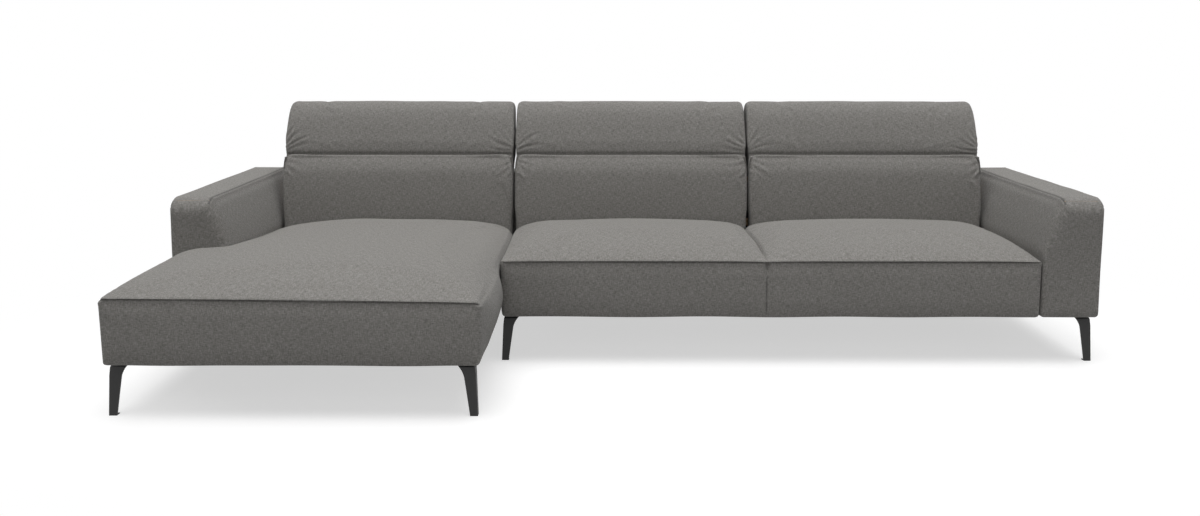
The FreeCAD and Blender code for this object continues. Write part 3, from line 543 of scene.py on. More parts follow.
def fans(ends: tuple[float, float], crease_height: float, way: int,
         table: Sequence[tuple[float, float, float]], seed: int, jitter: float) -> list[Wrinkle]:
    """The short folds that fan out from both ends of the crease under a headrest.

    Args:
        ends: where the crease ends, along X.
        crease_height: the height that the folds are measured from.
        way: 1 for folds that rise from the crease and -1 for those that fall.
        table: each fold's distance from the crease, its slope in degrees and its length.
        seed: fixes the unevenness.
        jitter: how far a slope may differ from its table, in degrees.

    Returns:
        The folds.
    """
    made = []
    random = np.random.default_rng(seed)
    for corner, side in zip(ends, (1, -1)):
        for away, turn, length in table:
            turn = math.radians(turn + random.uniform(-jitter, jitter))
            start = (corner + side * random.uniform(0.004, 0.012), crease_height + way * away)
            end = (start[0] + side * length * math.cos(turn), start[1] + way * length * math.sin(turn))
            made.append(Wrinkle(start, end, random.uniform(1.5, 3.3) * MM, random.uniform(3.6, 6.4) * MM))
    return made


@dataclass
class HingeLine:
    """The line that the headrests turn about, as (Y, Z), and their lean at rest."""

    y: float = 0.631
    z: float = 0.625
    lean: float = math.radians(24)

    def around(self, angle: float, radius: float) -> tuple[float, float]:
        """A point beside the line, at an angle from +Y in degrees."""
        turn = math.radians(angle)
        return self.y + radius * math.cos(turn), self.z + radius * math.sin(turn)

    def at(self, up: float, back: float) -> tuple[float, float]:
        """A point given up along a headrest's lean and back from its axis, in millimetres."""
        up, back = up * MM, back * MM
        return (self.y + up * math.sin(self.lean) + back * math.cos(self.lean),
                self.z + up * math.cos(self.lean) - back * math.sin(self.lean))


HINGES = HingeLine()


@dataclass
class BackCushion:
    """One lower back cushion: a leaning pad whose hollow top takes the headrest's round."""

    name: str
    low: float
    high: float
    seed: int
    end_draw: float = 0.021
    end_reach: float = 0.030
    upper_draw: float = 0.006
    lower_draw: float = 0.004
    draw_reach: float = 0.11
    cap: float = 0.002
    hollow: float = 0.0985
    lip_angle: float = 162.0
    bottom: float = 0.290
    step: float = 0.010

    def section(self) -> np.ndarray:
        """The upright section.

        Returns:
            A closed loop of (Y, Z).
        """
        lip = HINGES.around(self.lip_angle, self.hollow)
        front = through([lip, (lip[0] - 0.0035, lip[1] + 0.0045), (lip[0] - 0.0085, lip[1] + 0.0035),
                         (lip[0] - 0.0135, lip[1] - 0.006), (0.5085, 0.628), (0.4905, 0.590),
                         (0.4745, 0.520), (0.4655, 0.455), (0.4608, 0.395), (0.4590, 0.345),
                         (0.4622, 0.306), (0.472, 0.292), (0.484, self.bottom)], 66)
        return np.vstack([
            front,
            straight((0.484, self.bottom), (0.5225, self.bottom), 4),
            straight((0.5225, self.bottom), (0.602, 0.5467), 18),
            straight((0.602, 0.5467), HINGES.around(233, self.hollow), 3),
            arc((HINGES.y, HINGES.z), self.hollow, 233, self.lip_angle, 16),
        ])

    def build(self) -> bpy.types.Object:
        """Makes the cushion, puffs it up and gives it its pulled folds.

        Returns:
            The cushion.
        """
        shape = self.section()
        stations = spaced(self.low + self.cap, self.high - self.cap, self.step, (self.low, self.high),
                          0.034, 0.003)
        loops = []
        for x in stations:
            away = min(x - self.low, self.high - x) - self.cap
            loops.append(pulled_in(shape, rounding(away, self.end_draw, self.end_reach)))
        form = Loft(True, stations, loops, (self.cap, self.cap), 5, (0.520, 0.475))
        thing = cloth_object(f"{self.name}_back_pad", form.patches())
        points = positions(thing)
        near_end = 1 - smooth(0.0, self.draw_reach, from_ends(points[:, 0], self.low, self.high))
        upper = self.upper_draw * smooth(0.595, 0.662, points[:, 2]) ** 2
        lower = self.lower_draw * (1 - smooth(0.400, 0.475, points[:, 2])) ** 2
        inwards = np.sign((self.low + self.high) / 2 - points[:, 0])
        points[:, 0] += inwards * near_end * (upper + lower)
        put_positions(thing, points)
        y, z = points[:, 1], points[:, 2]
        hidden = smooth(0.0, 0.02, y - (0.50 + (z - 0.29) * 0.22))
        ends = 1 - smooth(0.004, 0.03, from_ends(points[:, 0], self.low, self.high))
        inflate(thing, np.clip(hidden + 0.7 * ends, 0, 1), 3 * MM, 3.0, 0.003)
        crease(thing, (0, 2), self.folds(), lambda p: 1 - smooth(0.52, 0.56, p[:, 1]))
        soften(thing, self.seed, 1.1 * MM, (0.16, 0.31))
        return thing

    def folds(self) -> list[Wrinkle]:
        """The short folds that fan down from the two upper corners."""
        table = ((0.010, 14, 0.085), (0.024, 34, 0.105), (0.034, 58, 0.075), (0.055, 30, 0.05))
        return fans((self.low, self.high), 0.652, -1, table, self.seed, 6)


@dataclass
class Headrest:
    """One headrest cushion, which rolls in its back cushion's hollow, with a slot for each hinge."""

    name: str
    low: float
    high: float
    seed: int
    end_share: float = 0.065
    end_reach: float = 0.022
    lower_draw: float = 0.004
    upper_draw: float = 0.003
    draw_reach: float = 0.10
    cap: float = 0.002
    hinge_spread: float = 0.300
    slot_half: float = 0.022
    slot_reach: float = 0.042
    step: float = 0.009

    def section(self, slotted: bool) -> np.ndarray:
        """The upright section as a closed loop of (Y, Z), with or without the hinge slot.

        Args:
            slotted: whether the hinge's slot is cut.

        Returns:
            The loop.
        """
        at, heart = HINGES.at, (HINGES.y, HINGES.z)
        over = through([at(0, -95), at(5, -100), at(18, -104), at(40, -105.5), at(80, -105), at(125, -103),
                        at(168, -97), at(203, -86), at(229, -67), at(243, -44), at(249, -14), at(245, 13),
                        at(233, 29), at(210, 35)], 92)
        if slotted:
            inner = np.vstack([
                straight(at(210, 35), at(24, 35), 20),
                arc(heart, self.slot_reach, 9.5, 231, 24),
            ])
        else:
            inner = np.vstack([
                straight(at(210, 35), at(0, 35), 20),
                arc(heart, 0.035, -24, -129, 24),
            ])
        lower = np.vstack([
            straight(inner[-1], HINGES.around(231, 0.095), 5),
            arc(heart, 0.095, 231, 156, 18),
        ])
        return np.vstack([over, inner, lower])

    def slots(self) -> list[float]:
        """Where the two hinges stand, along X."""
        middle = (self.low + self.high) / 2
        return [middle - self.hinge_spread, middle + self.hinge_spread]

    def build(self) -> bpy.types.Object:
        """Makes the headrest, puffs it up and gives it its pulled folds.

        Returns:
            The headrest.
        """
        edges = [x + side * (self.slot_half + shift) for x in self.slots() for side in (-1, 1)
                 for shift in (-0.0002, 0.0004)]
        usual = spaced(self.low + self.cap, self.high - self.cap, self.step, (self.low, self.high),
                       0.032, 0.003)
        usual = [x for x in usual if all(abs(x - edge) > 0.003 for edge in edges)]
        stations = np.array(sorted(list(usual) + edges))
        heart = np.array([HINGES.y, HINGES.z])
        plain, cut = self.section(False), self.section(True)
        loops = []
        for x in stations:
            away = min(x - self.low, self.high - x) - self.cap
            in_slot = any(abs(x - place) < self.slot_half for place in self.slots())
            shape = cut if in_slot else plain
            loops.append(heart + (shape - heart) * (1 - rounding(away, self.end_share, self.end_reach)))
        form = Loft(True, stations, loops, (self.cap, self.cap), 5, HINGES.at(100, -35))
        thing = cloth_object(f"{self.name}_head_pad", form.patches())
        points = positions(thing)
        up, back = self.own_axes(points)
        near_end = 1 - smooth(0.0, self.draw_reach, from_ends(points[:, 0], self.low, self.high))
        inwards = np.sign((self.low + self.high) / 2 - points[:, 0])
        corners = (self.lower_draw * (1 - smooth(0.0, 0.055, up)) ** 2
                   + self.upper_draw * smooth(0.05, 0.25, up))
        points[:, 0] += inwards * near_end * corners
        put_positions(thing, points)
        low_part = 1 - smooth(0.0, 0.03, up)
        behind = smooth(0.0, 0.02, back + 0.01) * (1 - smooth(0.19, 0.225, up))
        ends = 1 - smooth(0.004, 0.03, from_ends(points[:, 0], self.low, self.high))
        inflate(thing, np.clip(low_part + 0.8 * behind + 0.9 * ends, 0, 1), 2.5 * MM, 2.5, 0.002)
        crease(thing, (0, 2), self.folds(), lambda p: 1 - smooth(0.62, 0.66, p[:, 1]))
        soften(thing, self.seed + 40, 0.9 * MM, (0.15, 0.28))
        return thing

    def own_axes(self, points: np.ndarray) -> tuple[np.ndarray, np.ndarray]:
        """Each point's place up the headrest's lean and back from its axis.

        Args:
            points: points in the row frame.

        Returns:
            The two distances, in metres.
        """
        y, z = points[:, 1] - HINGES.y, points[:, 2] - HINGES.z
        sine, cosine = math.sin(HINGES.lean), math.cos(HINGES.lean)
        return y * sine + z * cosine, y * cosine - z * sine

    def folds(self) -> list[Wrinkle]:
        """The short folds that fan up from the two lower corners."""
        table = ((0.008, 12, 0.12), (0.018, 27, 0.13), (0.030, 46, 0.10), (0.046, 66, 0.07))
        return fans((self.low, self.high), 0.668, 1, table, self.seed + 7, 5)


@dataclass
class Crown:
    """How high a seat's top stands above its seam: a roll at the front, full, then settled behind."""

    front: float
    rear: float = 0.455
    first_rise: float = 0.003
    rise: float = 0.076
    roll: float = 0.095
    settle: float = 0.030

    def height(self, y: np.ndarray) -> np.ndarray:
        """Works out how high the crown stands above its seam.

        Args:
            y: distances from the row frame's middle.

        Returns:
            The height at each of them.
        """
        behind = np.maximum(y - self.front, 0)
        run = self.rear - self.front
        dropped = np.maximum(0, behind / run - 0.35) ** 1.5 / 0.65**1.5
        return self.first_rise + self.rise * (1 - np.exp(-behind / self.roll)) - self.settle * dropped


@dataclass
class Seat:
    """A seat that is one cover over one or more crowned places, upright in front and flat below."""

    name: str
    left: float
    right: float
    crown: Crown
    seam_left: float
    seam_right: float
    places: list[tuple[float, float]]
    base: float = 0.166
    foot_round: float = 0.010
    foot_inset: float = 0.0135
    lip: float = 0.0035
    seam_inset: float = 0.0034
    corner: float = 0.020
    corner_fall: float = 0.004
    corner_roll: float = 0.020
    draw: float = 0.005
    arm_corner: tuple[float, float] | None = None
    step: float = 0.013

    def shoulders(self, place: int, past: float) -> list[tuple[float, float]]:
        """The crosswise shape of one place's crown, from its left edge to its right one.

        Args:
            place: which place.
            past: how far back it is, from 0 to 1.

        Returns:
            Pairs of (distance along the place, share of the crown's height).
        """
        raise NotImplementedError

    def seam_height(self, x: np.ndarray) -> np.ndarray:
        """Works out the height of the front seam.

        Args:
            x: places across the seat.

        Returns:
            The height at each of them.
        """
        share = (x - self.left) / (self.right - self.left)
        near_end = np.clip(1 - from_ends(x, self.left, self.right) / self.corner, 0, 1)
        fall = self.corner_fall * (1 - np.sqrt(1 - near_end**2))
        return self.seam_left + (self.seam_right - self.seam_left) * share - fall

    def share(self, x: np.ndarray, y: float) -> np.ndarray:
        """The crown's crosswise share at one distance from the front.

        Args:
            x: places across the seat.
            y: the distance.

        Returns:
            The share of the full crown at each place.
        """
        past = min(max((y - self.crown.front) / (self.crown.rear - self.crown.front), 0), 1)
        total = np.zeros_like(x)
        for index, (low, high) in enumerate(self.places):
            curve = through(self.shoulders(index, past), 120)
            curve = np.vstack([curve, self.shoulders(index, past)[-1]])
            inside = (x >= low) & (x <= high)
            total[inside] = np.interp(x[inside] - low, curve[:, 0], curve[:, 1])
        return total

    def grid(self) -> tuple[np.ndarray, np.ndarray]:
        """Lays out where the seat's points stand.

        Returns:
            The places across the seat, and those from its front to its rear.
        """
        inner = [high for _, high in self.places[:-1]]
        notch = set()
        if self.arm_corner:
            notch = {self.arm_corner[0] - 0.0004, self.arm_corner[0] + 0.0001}
            inner += sorted(notch)
        x = spaced(self.left, self.right, self.step, (self.left, self.right, *inner), 0.018, 0.003)
        y = spaced(self.crown.front, self.crown.rear, self.step, (self.crown.front,), 0.024, 0.002)
        if self.arm_corner:
            x = np.array(sorted(set(x[np.abs(x - self.arm_corner[0]) > 0.0015].tolist()) | notch))
            kept = set(y[np.abs(y - self.arm_corner[1]) > 0.003].tolist())
            y = np.array(sorted(kept | {self.arm_corner[1]}))
        return x, y

    def build(self) -> bpy.types.Object:
        """Makes the seat, rolls its corners over and puffs it up.

        Returns:
            The seat, with no seam sewn yet.
        """
        x, y = self.grid()
        tops = np.stack([self.seam_height(x) + self.crown.height(at) * self.share(x, at) for at in y], 1)
        rim = self.crown.front
        loops = []
        for index, here in enumerate(x):
            away = min(here - self.left, self.right - here)
            plan = rounding(away, self.corner, self.corner * 1.2)
            under = rounding(away, self.corner, self.corner)
            seam = float(self.seam_height(np.array(here)))
            rear = self.arm_corner[1] if self.arm_corner and here < self.arm_corner[0] else self.crown.rear
            rise = 1 - (1 - np.linspace(0, 1, 27)) ** 1.8
            hollow = self.lip * (1 - np.sin(np.pi * (0.12 + 0.88 * rise)))
            wall_y = rim + hollow + self.front_cut(here, rise, seam)
            foot = self.foot_round
            wall_z = self.base + foot + (seam - self.base - foot) * rise
            low_front = arc((rim + self.foot_inset, self.base + foot), foot, 270, 180, 5)
            top = np.stack([np.minimum(y, rear), tops[index]], 1)
            height = np.interp(rear, y, tops[index])
            top[y > rear, 1] = height
            back = straight((rear, height), (rear, self.base), 16)
            floor = straight((rear, self.base), (rim + self.foot_inset, self.base), 30)
            loop = np.vstack([low_front, np.stack([wall_y, wall_z], 1)[:-1], top[:-1], back, floor])
            loop[:, 0] = np.where(loop[:, 0] < rim + 0.1, np.maximum(loop[:, 0], rim + plan), loop[:, 0])
            loop[:, 1] = np.maximum(loop[:, 1], self.base + under)
            loops.append(loop)
        form = Loft(True, x, loops, (0, 0), 10)
        thing = cloth_object(self.name, form.patches())
        points = positions(thing)
        for edge, side in ((self.left, 1), (self.right, -1)):
            near = 1 - smooth(0, 0.10, np.abs(points[:, 0] - edge))
            fall = np.clip((self.seam_left - points[:, 2]) / (self.seam_left - self.base), 0, 1)
            points[:, 0] += side * self.draw * near * fall
        points[:, 0] += self.free_side(points)
        put_positions(thing, self.rolled(points))
        self.pad(thing)
        return thing

    def rolled(self, points: np.ndarray) -> np.ndarray:
        """Points with the upper front corners and end edges rolled over, as a ball would round them.

        Args:
            points: points on or near the seat.

        Returns:
            The moved points.
        """
        moved = points.copy()
        size = self.corner_roll
        for edge, side in ((self.left, 1), (self.right, -1)):
            u = np.clip(size - side * (points[:, 0] - edge), 0, size)
            v = np.clip(size - (points[:, 1] - self.crown.front), 0, size)
            w = np.clip(size - (self.seam_height(np.full(1, edge + side * size))[0] - points[:, 2]), 0, size)
            length = np.sqrt(u**2 + v**2 + w**2)
            share = (1 - size / np.maximum(length, size)) * smooth(0, 0.5 * size, u)
            moved += np.stack([side * u, v, -w], 1) * share[:, None]
        return moved

    def free_side(self, points: np.ndarray) -> np.ndarray:
        """How far a side that stands free bulges along X at each point."""
        return np.zeros(len(points))

    def front_cut(self, x: float, rise: np.ndarray, seam: float) -> np.ndarray:
        """How far the front wall is pulled in at one place across, such as by a groove.

        Args:
            x: the place.
            rise: heights up the wall, from 0 to 1.
            seam: the seam's height.

        Returns:
            The pull, in metres.
        """
        return np.zeros_like(rise)

    def pad(self, thing: bpy.types.Object) -> None:
        """Puffs the seat up between its seams and its hidden sides.

        Args:
            thing: the seat.
        """
        points = positions(thing)
        x, y, z = points.T
        seam = self.seam_height(x)
        low = 1 - smooth(0.0, 0.03, z - self.base)
        at_seam = np.exp(-(((z - seam) / 0.012) ** 2)) * (1 - smooth(0.02, 0.05, y - self.crown.front))
        sides = 1 - smooth(0.002, 0.02, from_ends(x, self.left, self.right))
        behind = smooth(self.crown.rear - 0.03, self.crown.rear - 0.005, y)
        if self.arm_corner:
            beside = (x < self.arm_corner[0] + 0.004) & (y > self.arm_corner[1] - 0.01)
            sides = np.maximum(sides, beside)
        inner = sum(np.exp(-(((x - high) / 0.010) ** 2)) for _, high in self.places[:-1])
        inflate(thing, np.clip(low + at_seam + sides + behind + inner, 0, 1), 5 * MM)

    def front_seam(self) -> np.ndarray:
        """Draws the seam along the front.

        Returns:
            Its points, one row each.
        """
        x = np.linspace(self.left + 0.004, self.right - 0.004, 240)
        plan = np.array([rounding(away, self.corner, self.corner * 1.2)
                         for away in from_ends(x, self.left, self.right)])
        line = np.stack([x, self.crown.front + np.maximum(self.seam_inset, plan), self.seam_height(x)], 1)
        return self.rolled(line)


def soft_side(past: float, sink: float) -> list[tuple[float, float]]:
    """A seat's puffed side: steep from a sunken edge, then level.

    Args:
        past: how far back it is, from 0 to 1.
        sink: how far the edge lies below the seam at the rear, as a share of the crown.

    Returns:
        Pairs of (distance from the edge, share of the crown's height).
    """
    low = -sink * past
    return [(0, low), (0.009, 0.20 + 0.5 * low), (0.028, 0.40 + 0.2 * low), (0.055, 0.58), (0.105, 0.77),
            (0.165, 0.89)]


def arched(start: tuple[float, float], end: tuple[float, float], peak: float) -> list[tuple[float, float]]:
    """The middle of a crown between its two shoulders: a flat-topped arch that reaches 1.

    Args:
        start: the left shoulder, as (distance, share).
        end: the right shoulder.
        peak: where the arch is highest, from 0 to 1 between them.

    Returns:
        Points between the shoulders.
    """
    made = []
    for t in (0.1, 0.22, 0.36, 0.5, 0.64, 0.78, 0.9):
        side = (t - peak) / (peak if t < peak else 1 - peak)
        shoulder = start[1] if t < peak else end[1]
        made.append((start[0] + (end[0] - start[0]) * t, 1 - (1 - shoulder) * abs(side) ** 2.2))
    return made


@dataclass
class ChaiseSeat(Seat):
    """The long seat, whose left side slopes in front of the arm and then runs beside it."""

    swell: float = 0.026
    roll_in: float = 0.006
    swell_run: float = 0.22
    swell_end: tuple[float, float] = (-0.34, -0.215)

    def shoulders(self, place: int, past: float) -> list[tuple[float, float]]:
        """The crown's crosswise shape: a wide fall to the left and a short one to the right.

        Args:
            place: which place; there is only one, and it is not used.
            past: how far back it is, from 0 to 1.

        Returns:
            Pairs of (distance along the place, share of the crown's height).
        """
        run = self.right - self.left
        y = self.crown.front + past * (self.crown.rear - self.crown.front)
        past_arm = min(max((y - self.arm_corner[1]) / (self.crown.rear - self.arm_corner[1]), 0), 1)
        left = 0.66 - 0.60 * past_arm
        rise = [(0, 0), (0.028, 0.40 * left), (0.076, 0.72 * left), (0.200, left)]
        fall = [(run - d, s) for d, s in reversed(soft_side(past, 0.30))]
        return rise + arched(rise[-1], fall[0], 0.54) + fall

    def free_side(self, points: np.ndarray) -> np.ndarray:
        """The right side swells in front of the other module, and its upper edge rolls in.

        Args:
            points: points on the seat.

        Returns:
            The move along X at each of them.
        """
        near = 1 - smooth(0.0, 0.10, self.right - points[:, 0])
        ahead = smooth(self.crown.front, self.crown.front + self.swell_run, points[:, 1]) * (
            1 - smooth(*self.swell_end, points[:, 1]))
        rise = np.clip((points[:, 2] - self.base) / (self.seam_right + 0.01 - self.base), 0, 1)
        return near * ahead * (self.swell * np.sin(np.pi * rise**1.15) - self.roll_in * rise**6)


@dataclass
class TwoPlaceSeat(Seat):
    """The wide seat, with a groove between its two places."""

    notch_drop: float = 0.060
    notch_half: float = 0.0085
    notch_depth: float = 0.013

    def shoulders(self, place: int, past: float) -> list[tuple[float, float]]:
        """The crown's crosswise shape over one place, with a soft lip at the groove.

        Args:
            place: which place.
            past: how far back it is, from 0 to 1.

        Returns:
            Pairs of (distance along the place, share of the crown's height).
        """
        low, high = self.places[place]
        run = high - low
        outer = soft_side(past, 0.22)
        groove = [(0, 0.02), (0.004, 0.20), (0.012, 0.38), (0.034, 0.58), (0.070, 0.72), (0.150, 0.87)]
        near, far = (outer, groove) if place == 0 else (groove, outer)
        back = [(run - d, s) for d, s in reversed(far)]
        return near + arched(near[-1], back[0], 0.5) + back

    def front_cut(self, x: float, rise: np.ndarray, seam: float) -> np.ndarray:
        """The groove's notch, wide at the seam and closing downwards.

        Args:
            x: the place across the seat.
            rise: heights up the wall, from 0 to 1.
            seam: the seam's height.

        Returns:
            The pull at each height, in metres.
        """
        groove = self.places[0][1]
        z = self.base + (seam - self.base) * rise
        foot = seam - self.notch_drop
        half = np.interp(z, [foot, seam], [0.001, self.notch_half])
        depth = np.interp(z, [foot, seam - 0.03, seam], [0.0, 0.004, self.notch_depth])
        return depth * np.exp(-((abs(x - groove) / half) ** 2))


@dataclass
class BoxArm:
    """One box arm: upright outside, flared to the seat inside, with a round front top."""

    name: str
    side: End
    outer: float = 1.600
    inner: float = 1.400
    front: float = -0.190
    rear: float = 0.810
    base: float = 0.166
    top: float = 0.580
    front_round: float = 0.060
    top_width: float = 0.140
    knee: float = 0.395
    edge: float = 0.012
    cap: float = 0.0015
    step: float = 0.012

    def section(self) -> np.ndarray:
        """The right arm's section, which the left arm mirrors.

        Returns:
            A closed loop of (X, Z).
        """
        edge = self.edge
        inner_top = self.outer - self.top_width
        flare = through([(inner_top + 0.012, self.top), (inner_top + 0.003, self.top - 0.004),
                         (inner_top - 0.0025, self.top - 0.015), (1.4455, 0.545), (1.4325, 0.512),
                         (1.4195, 0.475), (1.4085, 0.435), (self.inner, self.knee), (self.inner, 0.36)], 44)
        return np.vstack([
            straight((self.inner + edge, self.base), (self.outer - edge, self.base), 14),
            arc((self.outer - edge, self.base + edge), edge, 270, 360, 6),
            straight((self.outer, self.base + edge), (self.outer, self.top - edge), 36),
            arc((self.outer - edge, self.top - edge), edge, 0, 90, 7),
            straight((self.outer - edge, self.top), (inner_top + 0.012, self.top), 12),
            flare,
            straight((self.inner, 0.36), (self.inner, self.base + edge), 14),
            arc((self.inner + edge, self.base + edge), edge, 180, 270, 6),
        ])

    def top_at(self, y: float) -> float:
        """The arm's height at a distance from its front."""
        behind = y - self.front
        return self.top - rounding(behind, self.front_round, self.front_round)

    def build(self) -> bpy.types.Object:
        """Makes the arm, gives it a slight unevenness and sews the edges of its band.

        Returns:
            The arm.
        """
        shape = self.section()
        stations = spaced(self.front + self.cap, self.rear - self.cap, self.step, (self.front, self.rear),
                          0.07, 0.004)
        loops = []
        knee = self.knee
        for y in stations:
            away = min(y - self.front, self.rear - y) - self.cap
            loop = shape.copy()
            upper = loop[:, 1] > knee
            stretch = (self.top_at(y) - knee) / (self.top - knee)
            loop[upper, 1] = knee + (loop[upper, 1] - knee) * stretch
            draw = rounding(away, self.edge, self.edge)
            centre = np.array([(self.inner + self.outer) / 2, 0.36])
            toward = np.clip(np.abs(loop - centre) / np.array([0.1, 0.2]), 0, 1) * np.sign(loop - centre)
            if y < self.front + 0.1:
                toward[:, 1] = np.minimum(toward[:, 1], 0)
                above_seat = smooth(0.36, 0.46, loop[:, 1]) * (1 - smooth(1.44, 1.53, loop[:, 0]))
                loop[:, 0] += rounding(away, 0.016, 0.045) * above_seat
            loops.append(loop - toward * draw)
        form = Loft(False, stations, loops, (self.cap, self.cap), 9)
        patches = form.patches()
        if self.side is End.LOW:
            for patch in patches:
                patch.points[..., 0] *= -1
        lines = self.band_edges(patches[0].points, shape)
        thing = cloth_object(f"{self.name}_arm_pad", patches)
        soften(thing, 60 + self.side.value, 1.0 * MM, (0.22, 0.4))
        sew(thing, lines, 1.5 * MM, 2.0 * MM, 0.7 * MM)
        return thing

    def band_edges(self, points: np.ndarray, shape: np.ndarray) -> list[np.ndarray]:
        """The two edges of the band that wraps the top and the front.

        Args:
            points: the arm's side surface, station by station from its front.
            shape: the section that the stations follow.

        Returns:
            The inner edge, from the rear over the front's round, and the outer edge down to the base.
        """
        inner_top = self.outer - self.top_width
        inner = int(np.argmin(np.linalg.norm(shape - (inner_top + 0.006, self.top - 0.001), axis=1)))
        outer = int(np.argmin(np.linalg.norm(shape - (self.outer - 0.004, self.top - 0.004), axis=1)))
        lowest = int(np.argmin(np.linalg.norm(shape - (self.outer, self.base + 0.03), axis=1)))
        first = 3
        down = points[first, lowest:outer + 1][::-1]
        return [points[:first:-1, inner], np.vstack([points[:first:-1, outer], down])]


@dataclass
class RearShell:
    """A module's padded rear panel with its ledge, and the end cheek beside the other module."""

    name: str
    low: float
    high: float
    cheek: tuple[float, float]
    seed: int
    base: float = 0.166
    top: float = 0.575
    rear: float = 0.810
    thick: float = 0.025
    ledge_front: float = 0.650
    ledge_thick: float = 0.020
    edge: float = 0.010
    step: float = 0.018

    def panel(self) -> Loft:
        """The panel and its ledge: one section along X.

        Returns:
            The form.
        """
        inner, under = self.rear - self.thick, self.top - self.ledge_thick
        edge = self.edge
        shape = np.vstack([
            straight((inner, self.base), (self.rear - edge, self.base), 3),
            arc((self.rear - edge, self.base + edge), edge, 270, 360, 5),
            straight((self.rear, self.base + edge), (self.rear, self.top - edge), 30),
            arc((self.rear - edge, self.top - edge), edge, 0, 90, 6),
            straight((self.rear - edge, self.top), (self.ledge_front + 0.006, self.top), 12),
            arc((self.ledge_front + 0.006, self.top - 0.006), 0.006, 90, 180, 4),
            straight((self.ledge_front, self.top - 0.006), (self.ledge_front, under), 3),
            straight((self.ledge_front, under), (inner, under), 10),
            straight((inner, under), (inner, self.base), 28),
        ])
        stations = spaced(self.low, self.high, self.step, (self.low, self.high), 0.010, 0.003)
        loops = []
        for x in stations:
            away = min(x - self.low, self.high - x)
            loops.append(pulled_in(shape, rounding(away, 0.004, 0.006)))
        return Loft(True, stations, loops, (0, 0), 3, (self.rear - self.thick / 2, self.top - 0.012))

    def end_cheek(self) -> Loft:
        """The flat upholstered cheek that closes the module's end behind the seat.

        Returns:
            The form.
        """
        corners = [(0.456, self.base), (0.785, self.base), (0.785, 0.555), (0.646, 0.555), (0.614, 0.555),
                   (0.6045, 0.5467), (0.5255, 0.286), (0.456, 0.286)]
        shape = np.vstack([straight(a, b, 8) for a, b in zip(corners, corners[1:] + corners[:1])])
        low, high = self.cheek
        stations = np.array([low, low + 0.002, (low + high) / 2, high - 0.002, high])
        loops = [pulled_in(shape, draw) for draw in (0.002, 0.0, 0.0, 0.0, 0.002)]
        return Loft(True, stations, loops, (0, 0), 4, (0.62, 0.33))

    def build(self) -> bpy.types.Object:
        """Makes the shell and gives its outer face the slight ease of stretched cloth.

        Returns:
            The shell: the panel and the cheek, as one piece.
        """
        thing = cloth_object(f"{self.name}_rear_pad", self.panel().patches() + self.end_cheek().patches())
        points = positions(thing)
        outer = smooth(self.rear - 0.006, self.rear - 0.002, points[:, 1])
        middle = np.sin(np.pi * np.clip((points[:, 0] - self.low) / (self.high - self.low), 0, 1))
        ease = ripple(points[:, 0], points[:, 2], self.seed, (0.35, 0.6))
        points[:, 1] += outer * (-0.0012 + 0.0012 * ease) * middle
        put_positions(thing, points)
        x = np.linspace(self.low + 0.003, self.high - 0.003, 200)
        line = np.stack([x, np.full_like(x, self.rear), np.full_like(x, self.top - 0.014)], 1)
        sew(thing, [line], 1.4 * MM, 2.0 * MM, 0.5 * MM)
        return thing


# Small parts and flat cloth


@dataclass
class DustCover:
    """The thin black cloth under a base, made of rectangles that join edge to edge."""

    name: str
    rectangles: list[tuple[float, float, float, float]]
    rests_on: tuple[str, ...]
    height: float = 0.1664
    thick: float = 0.0008
    step: float = 0.045

    def build(self) -> bpy.types.Object:
        """Makes the cloth, a little slack between the rails.

        Returns:
            The cloth.
        """
        y_marks = sorted({y for _, y_low, _, y_high in self.rectangles for y in (y_low, y_high)})
        patches = []
        for x_low, y_low, x_high, y_high in self.rectangles:
            x = spaced(x_low, x_high, self.step)
            inside = [y for y in y_marks if y_low <= y <= y_high]
            y = np.unique(np.concatenate([spaced(a, b, self.step) for a, b in zip(inside, inside[1:])]))
            grid = np.stack(np.meshgrid(x, y, indexing="ij"), -1)
            sag = 0.0002 * ripple(grid[..., 0], grid[..., 1], 5, (0.3,))
            for level in (self.height, self.height + self.thick):
                patches.append(Patch(np.dstack([grid, level + sag]), grid))
            for edge in (np.s_[0, :], np.s_[-1, :], np.s_[:, 0], np.s_[:, -1]):
                rim = np.stack([np.column_stack([grid[edge], level + sag[edge]])
                                for level in (self.height, self.height + self.thick)])
                middle = rim[:, rim.shape[1] // 2, :2].mean(axis=0)
                if not self.shared(middle, (x_low, y_low, x_high, y_high)):
                    patches.append(Patch(rim, rim[..., :2]))
        return cloth_object(self.name, patches)

    def shared(self, point: np.ndarray, own: tuple[float, float, float, float]) -> bool:
        """Whether an edge's middle also lies in another of the rectangles.

        Args:
            point: the edge's middle, as (X, Y).
            own: the rectangle that the edge belongs to.

        Returns:
            True where the two rectangles join, so that no wall stands between them.
        """
        x, y = point
        near = 1e-6
        return any(x_low - near < x < x_high + near and y_low - near < y < y_high + near
                   for x_low, y_low, x_high, y_high in self.rectangles
                   if (x_low, y_low, x_high, y_high) != own)

    def area(self) -> float:
        """The cloth's flat area."""
        return sum((x1 - x0) * (y1 - y0) for x0, y0, x1, y1 in self.rectangles)


@dataclass(frozen=True)
class Fastener:
    """A head that is repeated at many places: a hexagonal bolt or a round screw."""

    radius: float
    height: float
    sides: int
    crown: float


